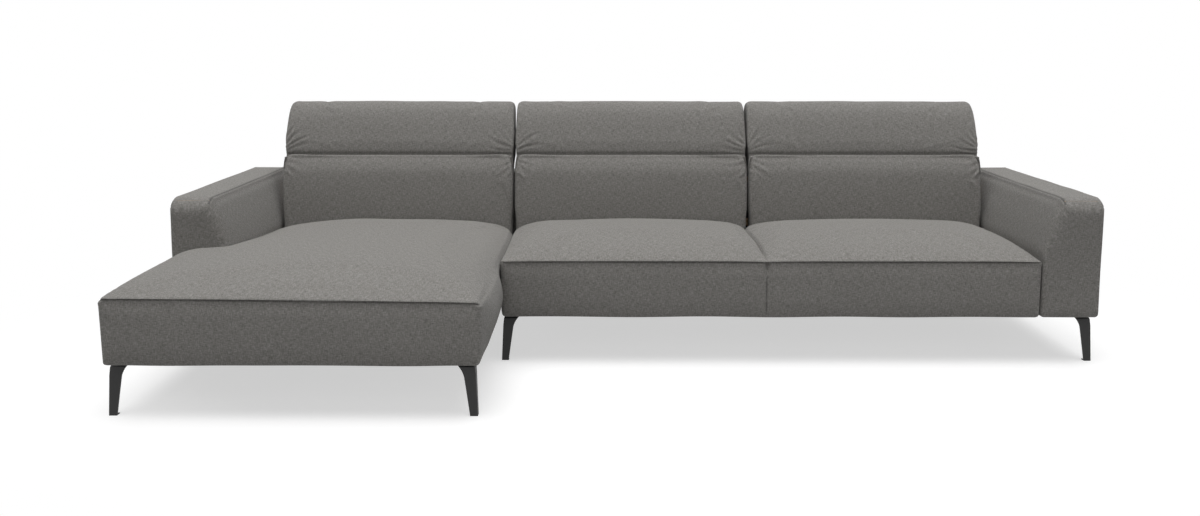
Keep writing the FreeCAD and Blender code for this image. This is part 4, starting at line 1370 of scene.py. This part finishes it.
def fastener_tree(name: str, shape: Fastener, material: bpy.types.Material) -> bpy.types.NodeTree:
    """Geometry Nodes that put a bolt or screw head, on its washer, at every point of a mesh.

    Args:
        name: the tree's name.
        shape: the head's sizes.
        material: its finish.

    Returns:
        The tree, with inputs for the radius and the height.
    """
    tree = bpy.data.node_groups.new(name, "GeometryNodeTree")
    face = tree.interface
    face.new_socket("Geometry", in_out="INPUT", socket_type="NodeSocketGeometry")
    radius = face.new_socket("Head radius", in_out="INPUT", socket_type="NodeSocketFloat")
    height = face.new_socket("Head height", in_out="INPUT", socket_type="NodeSocketFloat")
    radius.default_value, height.default_value = shape.radius, shape.height
    face.new_socket("Geometry", in_out="OUTPUT", socket_type="NodeSocketGeometry")
    start, end = tree.nodes.new("NodeGroupInput"), tree.nodes.new("NodeGroupOutput")

    def scaled(socket: str, share: float) -> bpy.types.NodeSocket:
        """One of the tree's inputs, multiplied by a share."""
        return add(tree, "ShaderNodeMath", {0: start.outputs[socket], 1: share},
                   operation="MULTIPLY").outputs[0]

    head = add(tree, "GeometryNodeMeshCone", {
        "Vertices": shape.sides, "Radius Bottom": start.outputs["Head radius"],
        "Radius Top": scaled("Head radius", shape.crown), "Depth": start.outputs["Head height"]})
    washer = add(tree, "GeometryNodeMeshCylinder", {
        "Vertices": 16, "Radius": scaled("Head radius", 1.45), "Depth": scaled("Head height", 0.3)})
    both = add(tree, "GeometryNodeJoinGeometry", {0: head.outputs["Mesh"]})
    tree.links.new(washer.outputs["Mesh"], both.inputs[0])
    way = add(tree, "GeometryNodeInputNamedAttribute", {"Name": "way"}, data_type="FLOAT_VECTOR")
    turn = add(tree, "FunctionNodeAlignRotationToVector", {"Vector": way.outputs["Attribute"]}, axis="Z")
    place = add(tree, "GeometryNodeInstanceOnPoints", {
        "Points": start.outputs["Geometry"], "Instance": both.outputs[0],
        "Rotation": turn.outputs["Rotation"]})
    real = add(tree, "GeometryNodeRealizeInstances", {0: place.outputs[0]})
    dress = add(tree, "GeometryNodeSetMaterial", {0: real.outputs[0], "Material": material})
    tree.links.new(dress.outputs[0], end.inputs[0])
    return tree


def scattered(name: str, tree: bpy.types.NodeTree, places: Sequence[tuple[float, float, float]],
              ways: Sequence[tuple[float, float, float]], sizes: dict[str, float]) -> bpy.types.Object:
    """Runs a tree over given points and returns the result as a plain mesh.

    Args:
        name: the new piece's name.
        tree: the Geometry Nodes.
        places: the points.
        ways: the direction that each copy points.
        sizes: values for the tree's named inputs.

    Returns:
        The piece.
    """
    seed = bpy.data.meshes.new(f"{name}_points")
    seed.from_pydata([tuple(p) for p in places], [], [])
    way = seed.attributes.new("way", "FLOAT_VECTOR", "POINT")
    way.data.foreach_set("vector", np.array(ways, np.float32).reshape(-1))
    thing = bpy.data.objects.new(name, seed)
    bpy.context.scene.collection.objects.link(thing)
    nodes = thing.modifiers.new("repeat", "NODES")
    nodes.node_group = tree
    for item in tree.interface.items_tree:
        if item.item_type == "SOCKET" and item.in_out == "INPUT" and item.name in sizes:
            nodes[item.identifier] = sizes[item.name]
    seen = thing.evaluated_get(bpy.context.evaluated_depsgraph_get())
    made = bpy.data.meshes.new_from_object(seen)
    thing.modifiers.remove(nodes)
    thing.data = made
    thing.data.name = name
    bpy.data.meshes.remove(seed)
    return thing


@dataclass
class Hardware:
    """The small fasteners: bolts through the leg plates, and screws in the hinge brackets."""

    legs: tuple[str, ...]
    bolt: Fastener = Fastener(0.0068, 0.0055, 6, 0.96)
    screw: Fastener = Fastener(0.0042, 0.0026, 14, 0.55)
    bolt_places: tuple[tuple[float, float], ...] = (
        (0.122, 0.032), (0.084, 0.036), (0.036, 0.084), (0.032, 0.122))
    plate_low: float = 0.160
    bracket_top: float = 0.563

    def leg_bolts(self, finish: bpy.types.Material) -> bpy.types.Object:
        """Puts four bolt heads under each leg's plate.

        Args:
            finish: their material.

        Returns:
            All the heads, as one piece.
        """
        places = []
        for leg in self.legs:
            low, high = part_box(leg)
            left, front = "left" in leg, "front" in leg
            for x, y in self.bolt_places:
                places.append((low[0] + x if left else high[0] - x, low[1] + y if front else high[1] - y,
                               self.plate_low))
        tree = fastener_tree("bolt heads", self.bolt, finish)
        sizes = {"Head radius": self.bolt.radius, "Head height": self.bolt.height}
        return scattered("leg_bolts", tree, places, [(0, 0, -1)] * len(places), sizes)

    def bracket_screws(self, hinges: Sequence[float], finish: bpy.types.Material) -> bpy.types.Object:
        """Puts four screws in the base of each hinge bracket.

        Args:
            hinges: where the hinges stand, along X.
            finish: the screws' material.

        Returns:
            All the heads, as one piece.
        """
        places = [(x + side * 0.0145, HINGES.y + back * 0.010, self.bracket_top)
                  for x in hinges for side in (-1, 1) for back in (-1, 1)]
        tree = fastener_tree("screw heads", self.screw, finish)
        sizes = {"Head radius": self.screw.radius, "Head height": self.screw.height}
        return scattered("bracket_screws", tree, places, [(0, 0, 1)] * len(places), sizes)


# Finishes


def add(tree: bpy.types.NodeTree, kind: str, inputs: dict | None = None,
        **settings: object) -> bpy.types.Node:
    """Adds a node, sets its options and fills or links its inputs.

    Args:
        tree: the tree that gets it.
        kind: the node's type.
        inputs: values or output sockets, by input name or number.
        **settings: the node's own options.

    Returns:
        The node.
    """
    node = tree.nodes.new(kind)
    for key, value in settings.items():
        setattr(node, key, value)
    for key, value in (inputs or {}).items():
        if isinstance(value, bpy.types.NodeSocket):
            tree.links.new(value, node.inputs[key])
        else:
            node.inputs[key].default_value = value
    return node


def new_group(name: str, inputs: dict[str, tuple[str, object]], outputs: dict[str, str]) -> tuple:
    """A shader node group with named sockets.

    Args:
        name: its name.
        inputs: the type and default of each input.
        outputs: the type of each output.

    Returns:
        The tree, its input node and its output node.
    """
    tree = bpy.data.node_groups.new(name, "ShaderNodeTree")
    for key, (kind, default) in inputs.items():
        socket = tree.interface.new_socket(key, in_out="INPUT", socket_type=kind)
        if default is not None:
            socket.default_value = default
    for key, kind in outputs.items():
        tree.interface.new_socket(key, in_out="OUTPUT", socket_type=kind)
    return tree, tree.nodes.new("NodeGroupInput"), tree.nodes.new("NodeGroupOutput")


FLOAT, VECTOR = "NodeSocketFloat", "NodeSocketVector"


def yarn_group() -> bpy.types.NodeTree:
    """A plain weave of uneven yarns: how light each yarn is and how high it stands."""
    tree, start, end = new_group(
        "woven yarns",
        {"Cloth": (VECTOR, None), "Yarns per metre": (FLOAT, 620.0), "Slub": (FLOAT, 1.0)},
        {"Tone": FLOAT, "Height": FLOAT, "Mottle": FLOAT},
    )
    cloth, count = start.outputs["Cloth"], start.outputs["Yarns per metre"]

    def calc(operation: str, *values: object) -> bpy.types.NodeSocket:
        """The result of one Math node."""
        return add(tree, "ShaderNodeMath", dict(enumerate(values)), operation=operation).outputs[0]

    def noise(place: bpy.types.NodeSocket, detail: float) -> bpy.types.NodeSocket:
        """A flat noise at a place."""
        return add(tree, "ShaderNodeTexNoise", {"Vector": place, "Scale": 1.0, "Detail": detail},
                   noise_dimensions="2D").outputs[0]

    def mixed(share: object, first: object, second: object) -> bpy.types.NodeSocket:
        """A mix of two values."""
        return add(tree, "ShaderNodeMix", {0: share, 2: first, 3: second}, data_type="FLOAT").outputs[0]

    split = add(tree, "ShaderNodeSeparateXYZ", {0: cloth}).outputs
    tones, waves = [], []
    for across, along, phase in ((0, 1, 0.0), (1, 0, 37.0)):
        yarns = calc("MULTIPLY", split[across], count)
        number = calc("FLOOR", yarns)
        moved = calc("ADD", calc("MULTIPLY", split[along], 95.0), calc("MULTIPLY_ADD", number, 7.31, phase))
        spot = add(tree, "ShaderNodeCombineXYZ", {0: moved, 1: number})
        tones.append(noise(spot.outputs[0], 1.5))
        waves.append(calc("SINE", calc("MULTIPLY", yarns, math.pi)))
    upper = calc("MULTIPLY_ADD", calc("MULTIPLY", *waves), 0.5, 0.5)
    tone = mixed(upper, *tones)
    weave = mixed(upper, *(calc("ABSOLUTE", wave) for wave in waves))
    height = calc("ADD", weave, calc("MULTIPLY", tone, start.outputs["Slub"]))
    flecks = []
    for stretch in ((380.0, 50.0, 1.0), (50.0, 380.0, 1.0)):
        drawn = add(tree, "ShaderNodeVectorMath", {0: cloth, 1: stretch}, operation="MULTIPLY")
        flecks.append(noise(drawn.outputs[0], 1.0))
    for key, value in (("Tone", tone), ("Height", height), ("Mottle", mixed(0.5, *flecks))):
        tree.links.new(value, end.inputs[key])
    return tree


def worn_group() -> bpy.types.NodeTree:
    """Fine uneven wear from the place on the object: cloudy patches and tiny specks."""
    tree, start, end = new_group(
        "fine wear", {"Place": (VECTOR, None), "Patch scale": (FLOAT, 30.0), "Speck scale": (FLOAT, 900.0)},
        {"Patches": FLOAT, "Specks": FLOAT},
    )
    for key, size, detail in (("Patches", "Patch scale", 4.0), ("Specks", "Speck scale", 2.0)):
        noise = add(tree, "ShaderNodeTexNoise",
                    {"Vector": start.outputs["Place"], "Scale": start.outputs[size], "Detail": detail})
        tree.links.new(noise.outputs[0], end.inputs[key])
    return tree


def blank(name: str) -> tuple[bpy.types.Material, bpy.types.NodeTree, bpy.types.Node]:
    """Makes a material with a Principled shader on its output.

    Args:
        name: its name.

    Returns:
        The material, its tree and the shader.
    """
    material = bpy.data.materials.new(name)
    material.use_nodes = True
    tree = material.node_tree
    return material, tree, tree.nodes["Principled BSDF"]


def ramp(tree: bpy.types.NodeTree, source: bpy.types.NodeSocket,
         stops: Sequence[tuple[float, tuple[float, float, float]]]) -> bpy.types.NodeSocket:
    """Colours a value through a ramp.

    Args:
        tree: the material's tree.
        source: the value.
        stops: positions and linear colours.

    Returns:
        The ramp's colour.
    """
    node = add(tree, "ShaderNodeValToRGB", {0: source})
    while len(node.color_ramp.elements) < len(stops):
        node.color_ramp.elements.new(0.5)
    for element, (position, colour) in zip(node.color_ramp.elements, stops):
        element.position = position
        element.color = (*colour, 1)
    return node.outputs[0]


@dataclass(frozen=True)
class WovenCloth:
    """The upholstery: a flat melange weave of warm grey yarns, with painted shade along the seam lines."""

    name: str = "woven upholstery"
    dark: tuple[float, float, float] = (0.150, 0.143, 0.133)
    middle: tuple[float, float, float] = (0.243, 0.234, 0.220)
    light: tuple[float, float, float] = (0.345, 0.334, 0.316)
    yarns: float = 620.0
    relief: float = 0.00035
    mottle: float = 0.8
    seam_shade: float = 0.75
    sheen: float = 0.12

    def make(self, yarns: bpy.types.NodeTree) -> bpy.types.Material:
        """Builds the material round the shared weave.

        Args:
            yarns: the weave's node group.

        Returns:
            The material.
        """
        material, tree, shader = blank(self.name)
        cloth = add(tree, "ShaderNodeUVMap", uv_map="cloth")
        weave = add(tree, "ShaderNodeGroup", node_tree=yarns)
        tree.links.new(cloth.outputs[0], weave.inputs["Cloth"])
        weave.inputs["Yarns per metre"].default_value = self.yarns
        spread = {0: weave.outputs["Mottle"], 1: self.mottle, 2: -self.mottle / 2}
        cloudy = add(tree, "ShaderNodeMath", spread, operation="MULTIPLY_ADD")
        mixed = add(tree, "ShaderNodeMath", {0: weave.outputs["Tone"], 1: cloudy.outputs[0]}, operation="ADD")
        colour = ramp(tree, mixed.outputs[0], ((0.24, self.dark), (0.50, self.middle), (0.76, self.light)))
        # Painted shade along the seams: the seam mark mixes the yarn colour towards near black, standing in
        # for the shade in each seam's furrow.
        seam = add(tree, "ShaderNodeAttribute", attribute_name="seam")
        shade = add(tree, "ShaderNodeMath", {0: seam.outputs["Fac"], 1: self.seam_shade},
                    operation="MULTIPLY")
        sewn = add(tree, "ShaderNodeMix", {0: shade.outputs[0], 6: colour, 7: (0.02, 0.02, 0.019, 1)},
                   data_type="RGBA")
        tree.links.new(sewn.outputs[2], shader.inputs["Base Color"])
        rough = add(tree, "ShaderNodeMath", {0: weave.outputs["Tone"], 1: -0.12, 2: 0.95},
                    operation="MULTIPLY_ADD")
        tree.links.new(rough.outputs[0], shader.inputs["Roughness"])
        shader.inputs["Specular IOR Level"].default_value = 0.25
        shader.inputs["Sheen Weight"].default_value = self.sheen
        shader.inputs["Sheen Roughness"].default_value = 0.6
        bump = add(tree, "ShaderNodeBump", {"Height": weave.outputs["Height"], "Distance": self.relief,
                                            "Strength": 0.8})
        tree.links.new(bump.outputs[0], shader.inputs["Normal"])
        return material


@dataclass(frozen=True)
class BlackCloth:
    """The thin black cloth under the bases, and the elastic webbing."""

    name: str
    colour: tuple[float, float, float] = (0.012, 0.012, 0.013)
    stripe: tuple[float, float, float] = (0.03, 0.03, 0.032)
    scale: float = 400.0

    def make(self, worn: bpy.types.NodeTree) -> bpy.types.Material:
        """Builds the material from Object coordinates.

        Args:
            worn: the node group of fine wear.

        Returns:
            The material.
        """
        material, tree, shader = blank(self.name)
        place = add(tree, "ShaderNodeTexCoord").outputs["Object"]
        wave = add(tree, "ShaderNodeTexWave", {"Vector": place, "Scale": self.scale, "Distortion": 0.4},
                   wave_type="BANDS", bands_direction="DIAGONAL")
        wear = add(tree, "ShaderNodeGroup", node_tree=worn)
        tree.links.new(place, wear.inputs["Place"])
        tone = add(tree, "ShaderNodeMath", {0: wave.outputs[1], 1: wear.outputs["Patches"]},
                   operation="MULTIPLY")
        colour = ramp(tree, tone.outputs[0], ((0.1, self.colour), (0.6, self.stripe)))
        tree.links.new(colour, shader.inputs["Base Color"])
        shader.inputs["Roughness"].default_value = 0.9
        bump = add(tree, "ShaderNodeBump", {"Height": wave.outputs[1], "Distance": 0.0003, "Strength": 0.6})
        tree.links.new(bump.outputs[0], shader.inputs["Normal"])
        return material


@dataclass(frozen=True)
class CoatedSteel:
    """Metal: satin black powder coat on the legs, or bright zinc on the hinges."""

    name: str
    dark: tuple[float, float, float]
    light: tuple[float, float, float]
    metallic: float
    smooth: float
    rough: float
    relief: float

    def make(self, worn: bpy.types.NodeTree) -> bpy.types.Material:
        """Builds the material round the shared wear.

        Args:
            worn: the node group of fine wear.

        Returns:
            The material.
        """
        material, tree, shader = blank(self.name)
        place = add(tree, "ShaderNodeTexCoord").outputs["Object"]
        wear = add(tree, "ShaderNodeGroup", node_tree=worn)
        tree.links.new(place, wear.inputs["Place"])
        colour = ramp(tree, wear.outputs["Patches"], ((0.35, self.dark), (0.65, self.light)))
        tree.links.new(colour, shader.inputs["Base Color"])
        span = self.rough - self.smooth
        rough = add(tree, "ShaderNodeMath", {0: wear.outputs["Patches"], 1: span, 2: self.smooth},
                    operation="MULTIPLY_ADD")
        tree.links.new(rough.outputs[0], shader.inputs["Roughness"])
        shader.inputs["Metallic"].default_value = self.metallic
        bump = add(tree, "ShaderNodeBump", {"Height": wear.outputs["Specks"], "Distance": self.relief,
                                            "Strength": 0.5})
        tree.links.new(bump.outputs[0], shader.inputs["Normal"])
        return material


@dataclass(frozen=True)
class Timber:
    """Pale plywood and pine: rings and fibres along the length of a board."""

    name: str
    pale: tuple[float, float, float]
    brown: tuple[float, float, float]
    ring_scale: float
    stretch: tuple[float, float, float]

    def make(self, worn: bpy.types.NodeTree) -> bpy.types.Material:
        """Builds the material from Object coordinates.

        Args:
            worn: the node group of fine wear.

        Returns:
            The material.
        """
        material, tree, shader = blank(self.name)
        place = add(tree, "ShaderNodeTexCoord").outputs["Object"]
        along = add(tree, "ShaderNodeMapping", {"Vector": place, "Scale": self.stretch})
        rings = add(tree, "ShaderNodeTexWave", {"Vector": along.outputs[0], "Scale": self.ring_scale,
                                                "Distortion": 6.0, "Detail": 3.0, "Detail Scale": 1.4},
                    wave_type="RINGS")
        wear = add(tree, "ShaderNodeGroup", node_tree=worn)
        tree.links.new(along.outputs[0], wear.inputs["Place"])
        grain = add(tree, "ShaderNodeMix", {0: 0.45, 2: rings.outputs[1], 3: wear.outputs["Specks"]},
                    data_type="FLOAT")
        colour = ramp(tree, grain.outputs[0], ((0.25, self.brown), (0.7, self.pale)))
        tree.links.new(colour, shader.inputs["Base Color"])
        shader.inputs["Roughness"].default_value = 0.62
        bump = add(tree, "ShaderNodeBump", {"Height": grain.outputs[0], "Distance": 0.0004, "Strength": 0.4})
        tree.links.new(bump.outputs[0], shader.inputs["Normal"])
        return material


@dataclass
class Finishes:
    """Every finish of the sofa, built once round the shared groups."""

    by_slot: dict[str, bpy.types.Material] = field(init=False)

    def __post_init__(self) -> None:
        """Builds the materials, each under the record's name for its slot."""
        yarns, worn = yarn_group(), worn_group()
        self.by_slot = {"upholstery": WovenCloth().make(yarns)}
        for slot, finish in (
            ("dust_cloth", BlackCloth("dust cloth")),
            ("webbing", BlackCloth("elastic webbing", (0.015, 0.015, 0.016), (0.10, 0.10, 0.105), 160.0)),
            ("leg_metal", CoatedSteel("black powder coat", (0.0060, 0.0058, 0.0058), (0.0090, 0.0087, 0.0087),
                                      0.0, 0.48, 0.62, 0.00012)),
            ("hinge_steel", CoatedSteel("zinc steel", (0.42, 0.43, 0.45), (0.62, 0.63, 0.65), 1.0, 0.25, 0.45,
                                        0.00005)),
            ("timber", Timber("pale timber", (0.60, 0.44, 0.27), (0.42, 0.27, 0.14), 26.0, (1, 1, 1))),
            ("foam", CoatedSteel("seat foam", (0.66, 0.62, 0.50), (0.74, 0.70, 0.58), 0.0, 0.9, 1.0, 0.0006)),
            ("glide_plastic", CoatedSteel("glide plastic", (0.02, 0.02, 0.02), (0.03, 0.03, 0.03), 0.0, 0.5,
                                          0.7, 0.0001)),
        ):
            self.by_slot[slot] = finish.make(worn)

    def for_slot(self, slot: str) -> bpy.types.Material:
        """The finish that a record's material slot gets."""
        return self.by_slot[slot]

    def dress_nodes(self) -> None:
        """Gives every carried-over solid its finish."""
        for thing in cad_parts.values():
            slot = next((slot for slot, words in (
                ("glide_plastic", ("leg_glides",)), ("leg_metal", ("_leg_",)),
                ("hinge_steel", ("hinge", "connector")), ("webbing", ("webbing",)), ("dust_cloth", ("dust",)),
                ("foam", ("foam",)), ("timber", ("rail", "frame", "board", "blocks")),
            ) if any(word in thing.name for word in words)), "upholstery")
            for place in thing.material_slots:
                place.material = self.by_slot[slot]


# The photograph's setting


@dataclass
class Studio:
    """A white sweep, soft light from above and in front, and the photograph's camera."""

    eye: tuple[float, float, float] = (-0.12, -4.1716, 1.1275)
    tilt: float = 7.78
    turn: float = 0.0048
    lens: float = 35.32
    shift: tuple[float, float] = (0.0035, -0.05)
    top_power: float = 84.0
    front_power: float = 14.0
    world_level: float = 0.14
    floor_shown: float = 1.3
    floor_bounce: float = 0.42
    fade: tuple[float, float] = (0.95, 1.75)
    shadow_lift: float = 0.58

    def build(self) -> None:
        """Sets up the floor, the world, the lamps and the camera."""
        self.floor()
        self.world()
        self.lamp("overhead", (0.1, -0.1, 3.2), (math.radians(5), 0, 0), (6.5, 5.0), self.top_power, 75)
        self.lamp("front", (0.0, -5.0, 2.2), (math.radians(72), 0, 0), (6.0, 2.5), self.front_power, 120)
        data = bpy.data.cameras.new("camera")
        data.lens, data.sensor_width = self.lens, 36
        data.shift_x, data.shift_y = self.shift
        eye = bpy.data.objects.new("camera", data)
        eye.location = self.eye
        eye.rotation_euler = (math.radians(90 - self.tilt), 0, self.turn)
        bpy.context.scene.collection.objects.link(eye)
        bpy.context.scene.camera = eye
        bpy.context.scene.view_settings.view_transform = "Standard"

    def lamp(self, name: str, spot: tuple[float, float, float], turn: tuple[float, float, float],
             size: tuple[float, float], power: float, spread: float) -> None:
        """Adds one soft rectangular lamp.

        Args:
            name: its name.
            spot: where it hangs.
            turn: how it is turned, from pointing straight down.
            size: its width and length.
            power: its power in watts.
            spread: how wide its light fans out, in degrees.
        """
        data = bpy.data.lights.new(name, "AREA")
        data.shape = "RECTANGLE"
        data.size, data.size_y = size
        data.energy = power
        data.spread = math.radians(spread)
        thing = bpy.data.objects.new(name, data)
        thing.location, thing.rotation_euler = spot, turn
        bpy.context.scene.collection.objects.link(thing)

    def seen_directly(self, tree: bpy.types.NodeTree) -> bpy.types.NodeSocket:
        """Masks what the camera sees, directly, in gloss or through glass.

        Args:
            tree: the tree that gets the nodes.

        Returns:
            A value that is 1 for those rays and 0 for the rest.
        """
        path = add(tree, "ShaderNodeLightPath")
        first = add(tree, "ShaderNodeMath",
                    {0: path.outputs["Is Camera Ray"], 1: path.outputs["Is Glossy Ray"]}, operation="MAXIMUM")
        both = add(tree, "ShaderNodeMath", {0: first.outputs[0], 1: path.outputs["Is Transmission Ray"]},
                   operation="MAXIMUM")
        return both.outputs[0]

    def world(self) -> None:
        """A plain white surround that lights the object only a little."""
        world = bpy.data.worlds.new("studio")
        bpy.context.scene.world = world
        world.use_nodes = True
        tree = world.node_tree
        shown = tree.nodes["Background"]
        shown.inputs[0].default_value = (1, 1, 1, 1)
        seen = self.seen_directly(tree)
        level = add(tree, "ShaderNodeMix", {0: seen, 2: self.world_level, 3: 1.0}, data_type="FLOAT")
        tree.links.new(level.outputs[0], shown.inputs[1])

    def floor(self) -> None:
        """A white floor that keeps a soft shadow near the sofa and fades to pure white."""
        half = 14.0
        mesh = bpy.data.meshes.new("floor")
        mesh.from_pydata([(-half, -half, 0), (half, -half, 0), (half, half, 0), (-half, half, 0)], [],
                         [(0, 1, 2, 3)])
        thing = bpy.data.objects.new("floor", mesh)
        bpy.context.scene.collection.objects.link(thing)
        material = bpy.data.materials.new("white floor")
        material.use_nodes = True
        tree = material.node_tree
        tree.nodes.clear()
        place = add(tree, "ShaderNodeTexCoord").outputs["Object"]
        squeezed = add(tree, "ShaderNodeMapping", {"Vector": place, "Scale": (0.62, 1.0, 1.0)})
        away = add(tree, "ShaderNodeVectorMath", {0: squeezed.outputs[0]}, operation="LENGTH")
        near, far = self.fade
        fade = add(tree, "ShaderNodeMapRange",
                   {0: away.outputs["Value"], 1: near, 2: far, 3: self.shadow_lift, 4: 1.0},
                   interpolation_type="SMOOTHSTEP")
        seen = self.seen_directly(tree)
        share = add(tree, "ShaderNodeMath", {0: seen, 1: fade.outputs[0]}, operation="MULTIPLY")
        tone = add(tree, "ShaderNodeMix", {0: seen, 6: (*[self.floor_bounce] * 3, 1),
                                           7: (*[self.floor_shown] * 3, 1)}, data_type="RGBA")
        matt = add(tree, "ShaderNodeBsdfDiffuse", {0: tone.outputs[2]})
        glow = add(tree, "ShaderNodeEmission", {0: (1, 1, 1, 1), 1: 1.0})
        both = add(tree, "ShaderNodeMixShader", {0: share.outputs[0], 1: matt.outputs[0], 2: glow.outputs[0]})
        out = add(tree, "ShaderNodeOutputMaterial", {0: both.outputs[0]})
        out.is_active_output = True
        mesh.materials.append(material)


# Putting the sofa together

BACK_PLACES = {"chaise": (-1.395, -0.4722), "middle": (-0.4678, 0.4628), "right": (0.4672, 1.395)}


@dataclass
class Sofa:
    """The whole sectional: its padded pieces, its flat cloth and its fasteners."""

    finishes: Finishes

    def finish(self, thing: bpy.types.Object, slot: str, body: str = "sofa") -> None:
        """Dresses a piece with the finish for its material slot and sets it on its body.

        Args:
            thing: the piece.
            slot: the record's material slot.
            body: the body that it moves with.
        """
        thing.data.materials.clear()
        thing.data.materials.append(self.finishes.for_slot(slot))
        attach(thing, body)
        log.info("%s: %d faces, on %s", thing.name, len(thing.data.polygons), body)

    def seats(self) -> None:
        """Both seats, with their front seams."""
        chaise = ChaiseSeat("chaise_seat_pad", -1.600, -0.4705, Crown(-0.810), 0.369, 0.357,
                            [(-1.600, -0.4705)], arm_corner=(-1.3995, -0.1905))
        wide = TwoPlaceSeat("sofa_seat_pad", -0.4695, 1.3995, Crown(-0.190), 0.361, 0.361,
                            [(-0.4695, 0.450), (0.450, 1.3995)], draw=0.003, corner_roll=0.009)
        for seat, nodes in ((chaise, ("chaise_seat_cover", "chaise_seat_foam")),
                            (wide, ("sofa_seat_cover", "sofa_seat_foam_left", "sofa_seat_foam_right"))):
            thing = seat.build()
            soften(thing, 11 if seat is chaise else 12, 1.6 * MM, (0.24, 0.45))
            lines = [seat.front_seam()]
            if seat is chaise:
                y = np.linspace(seat.crown.front + 0.006, seat.arm_corner[1], 160)
                lines.append(seat.rolled(np.stack([np.full_like(y, seat.left), y,
                                                   np.full_like(y, seat.seam_left)], 1)))
            else:
                z = np.linspace(seat.base + 0.012, seat.seam_left - 0.05, 50)
                groove = np.full_like(z, seat.places[0][1])
                lines.append(np.stack([groove, np.full_like(z, seat.crown.front), z], 1))
            sew(thing, lines)
            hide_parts(*nodes)
            self.finish(thing, "upholstery")

    def backs(self) -> None:
        """The three back cushions and the three headrests that move."""
        for number, (name, (low, high)) in enumerate(BACK_PLACES.items()):
            cushion = BackCushion(name, low, high, 20 + number).build()
            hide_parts(f"{name}_back_cushion")
            self.finish(cushion, "upholstery")
            headrest = Headrest(name, low, high, 30 + number).build()
            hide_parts(f"{name}_headrest_cushion")
            self.finish(headrest, "upholstery", f"{name}_headrest")

    def arms(self) -> None:
        """Both arms."""
        for name, side in (("left", End.LOW), ("right", End.HIGH)):
            arm = BoxArm(name, side).build()
            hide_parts(f"{name}_arm_cover")
            self.finish(arm, "upholstery")

    def shells(self) -> None:
        """The rear panels and the cloth under the bases."""
        for shell in (RearShell("chaise", -1.3995, -0.4705, (-0.4805, -0.4705), 51),
                      RearShell("sofa", -0.4695, 1.3995, (-0.4695, -0.4595), 52)):
            thing = shell.build()
            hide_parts(f"{shell.name}_rear_panel")
            self.finish(thing, "upholstery")
        covers = (
            DustCover("chaise_under_cloth",
                      [(-1.580, -0.794, -1.3885, -0.2015), (-1.3885, -0.794, -0.4905, -0.2015),
                       (-1.3885, -0.2015, -0.4905, 0.783)],
                      ("chaise_front_rail", "chaise_left_rail", "chaise_right_rail", "chaise_rear_rail")),
            DustCover("sofa_under_cloth", [(-0.4555, -0.174, 1.3885, 0.783)],
                      ("sofa_front_rail", "sofa_left_rail", "sofa_right_rail", "sofa_rear_rail")),
        )
        for cover, node in zip(covers, ("chaise_dust_cover", "sofa_dust_cover")):
            thing = cover.build()
            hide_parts(node)
            self.finish(thing, "dust_cloth")
            list(cover.rests_on)
            cover.area()

    def fasteners(self) -> None:
        """The leg bolts and the hinge screws."""
        legs = tuple(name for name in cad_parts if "_leg_" in name)
        hardware = Hardware(legs)
        self.finish(hardware.leg_bolts(self.finishes.for_slot("leg_metal")), "leg_metal")
        middles = [(low + high) / 2 for low, high in BACK_PLACES.values()]
        hinges = [middle + side * 0.300 for middle in middles for side in (-1, 1)]
        screws = hardware.bracket_screws(hinges, self.finishes.for_slot("hinge_steel"))
        self.finish(screws, "hinge_steel")


def main() -> None:
    """Builds the sofa and its setting."""
    logging.basicConfig(level=logging.INFO, format="%(name)s: %(message)s")
    finishes = Finishes()
    finishes.dress_nodes()
    sofa = Sofa(finishes)
    sofa.seats()
    sofa.backs()
    sofa.arms()
    sofa.shells()
    sofa.fasteners()
    Studio().build()


if __name__ == "__main__":
    main()
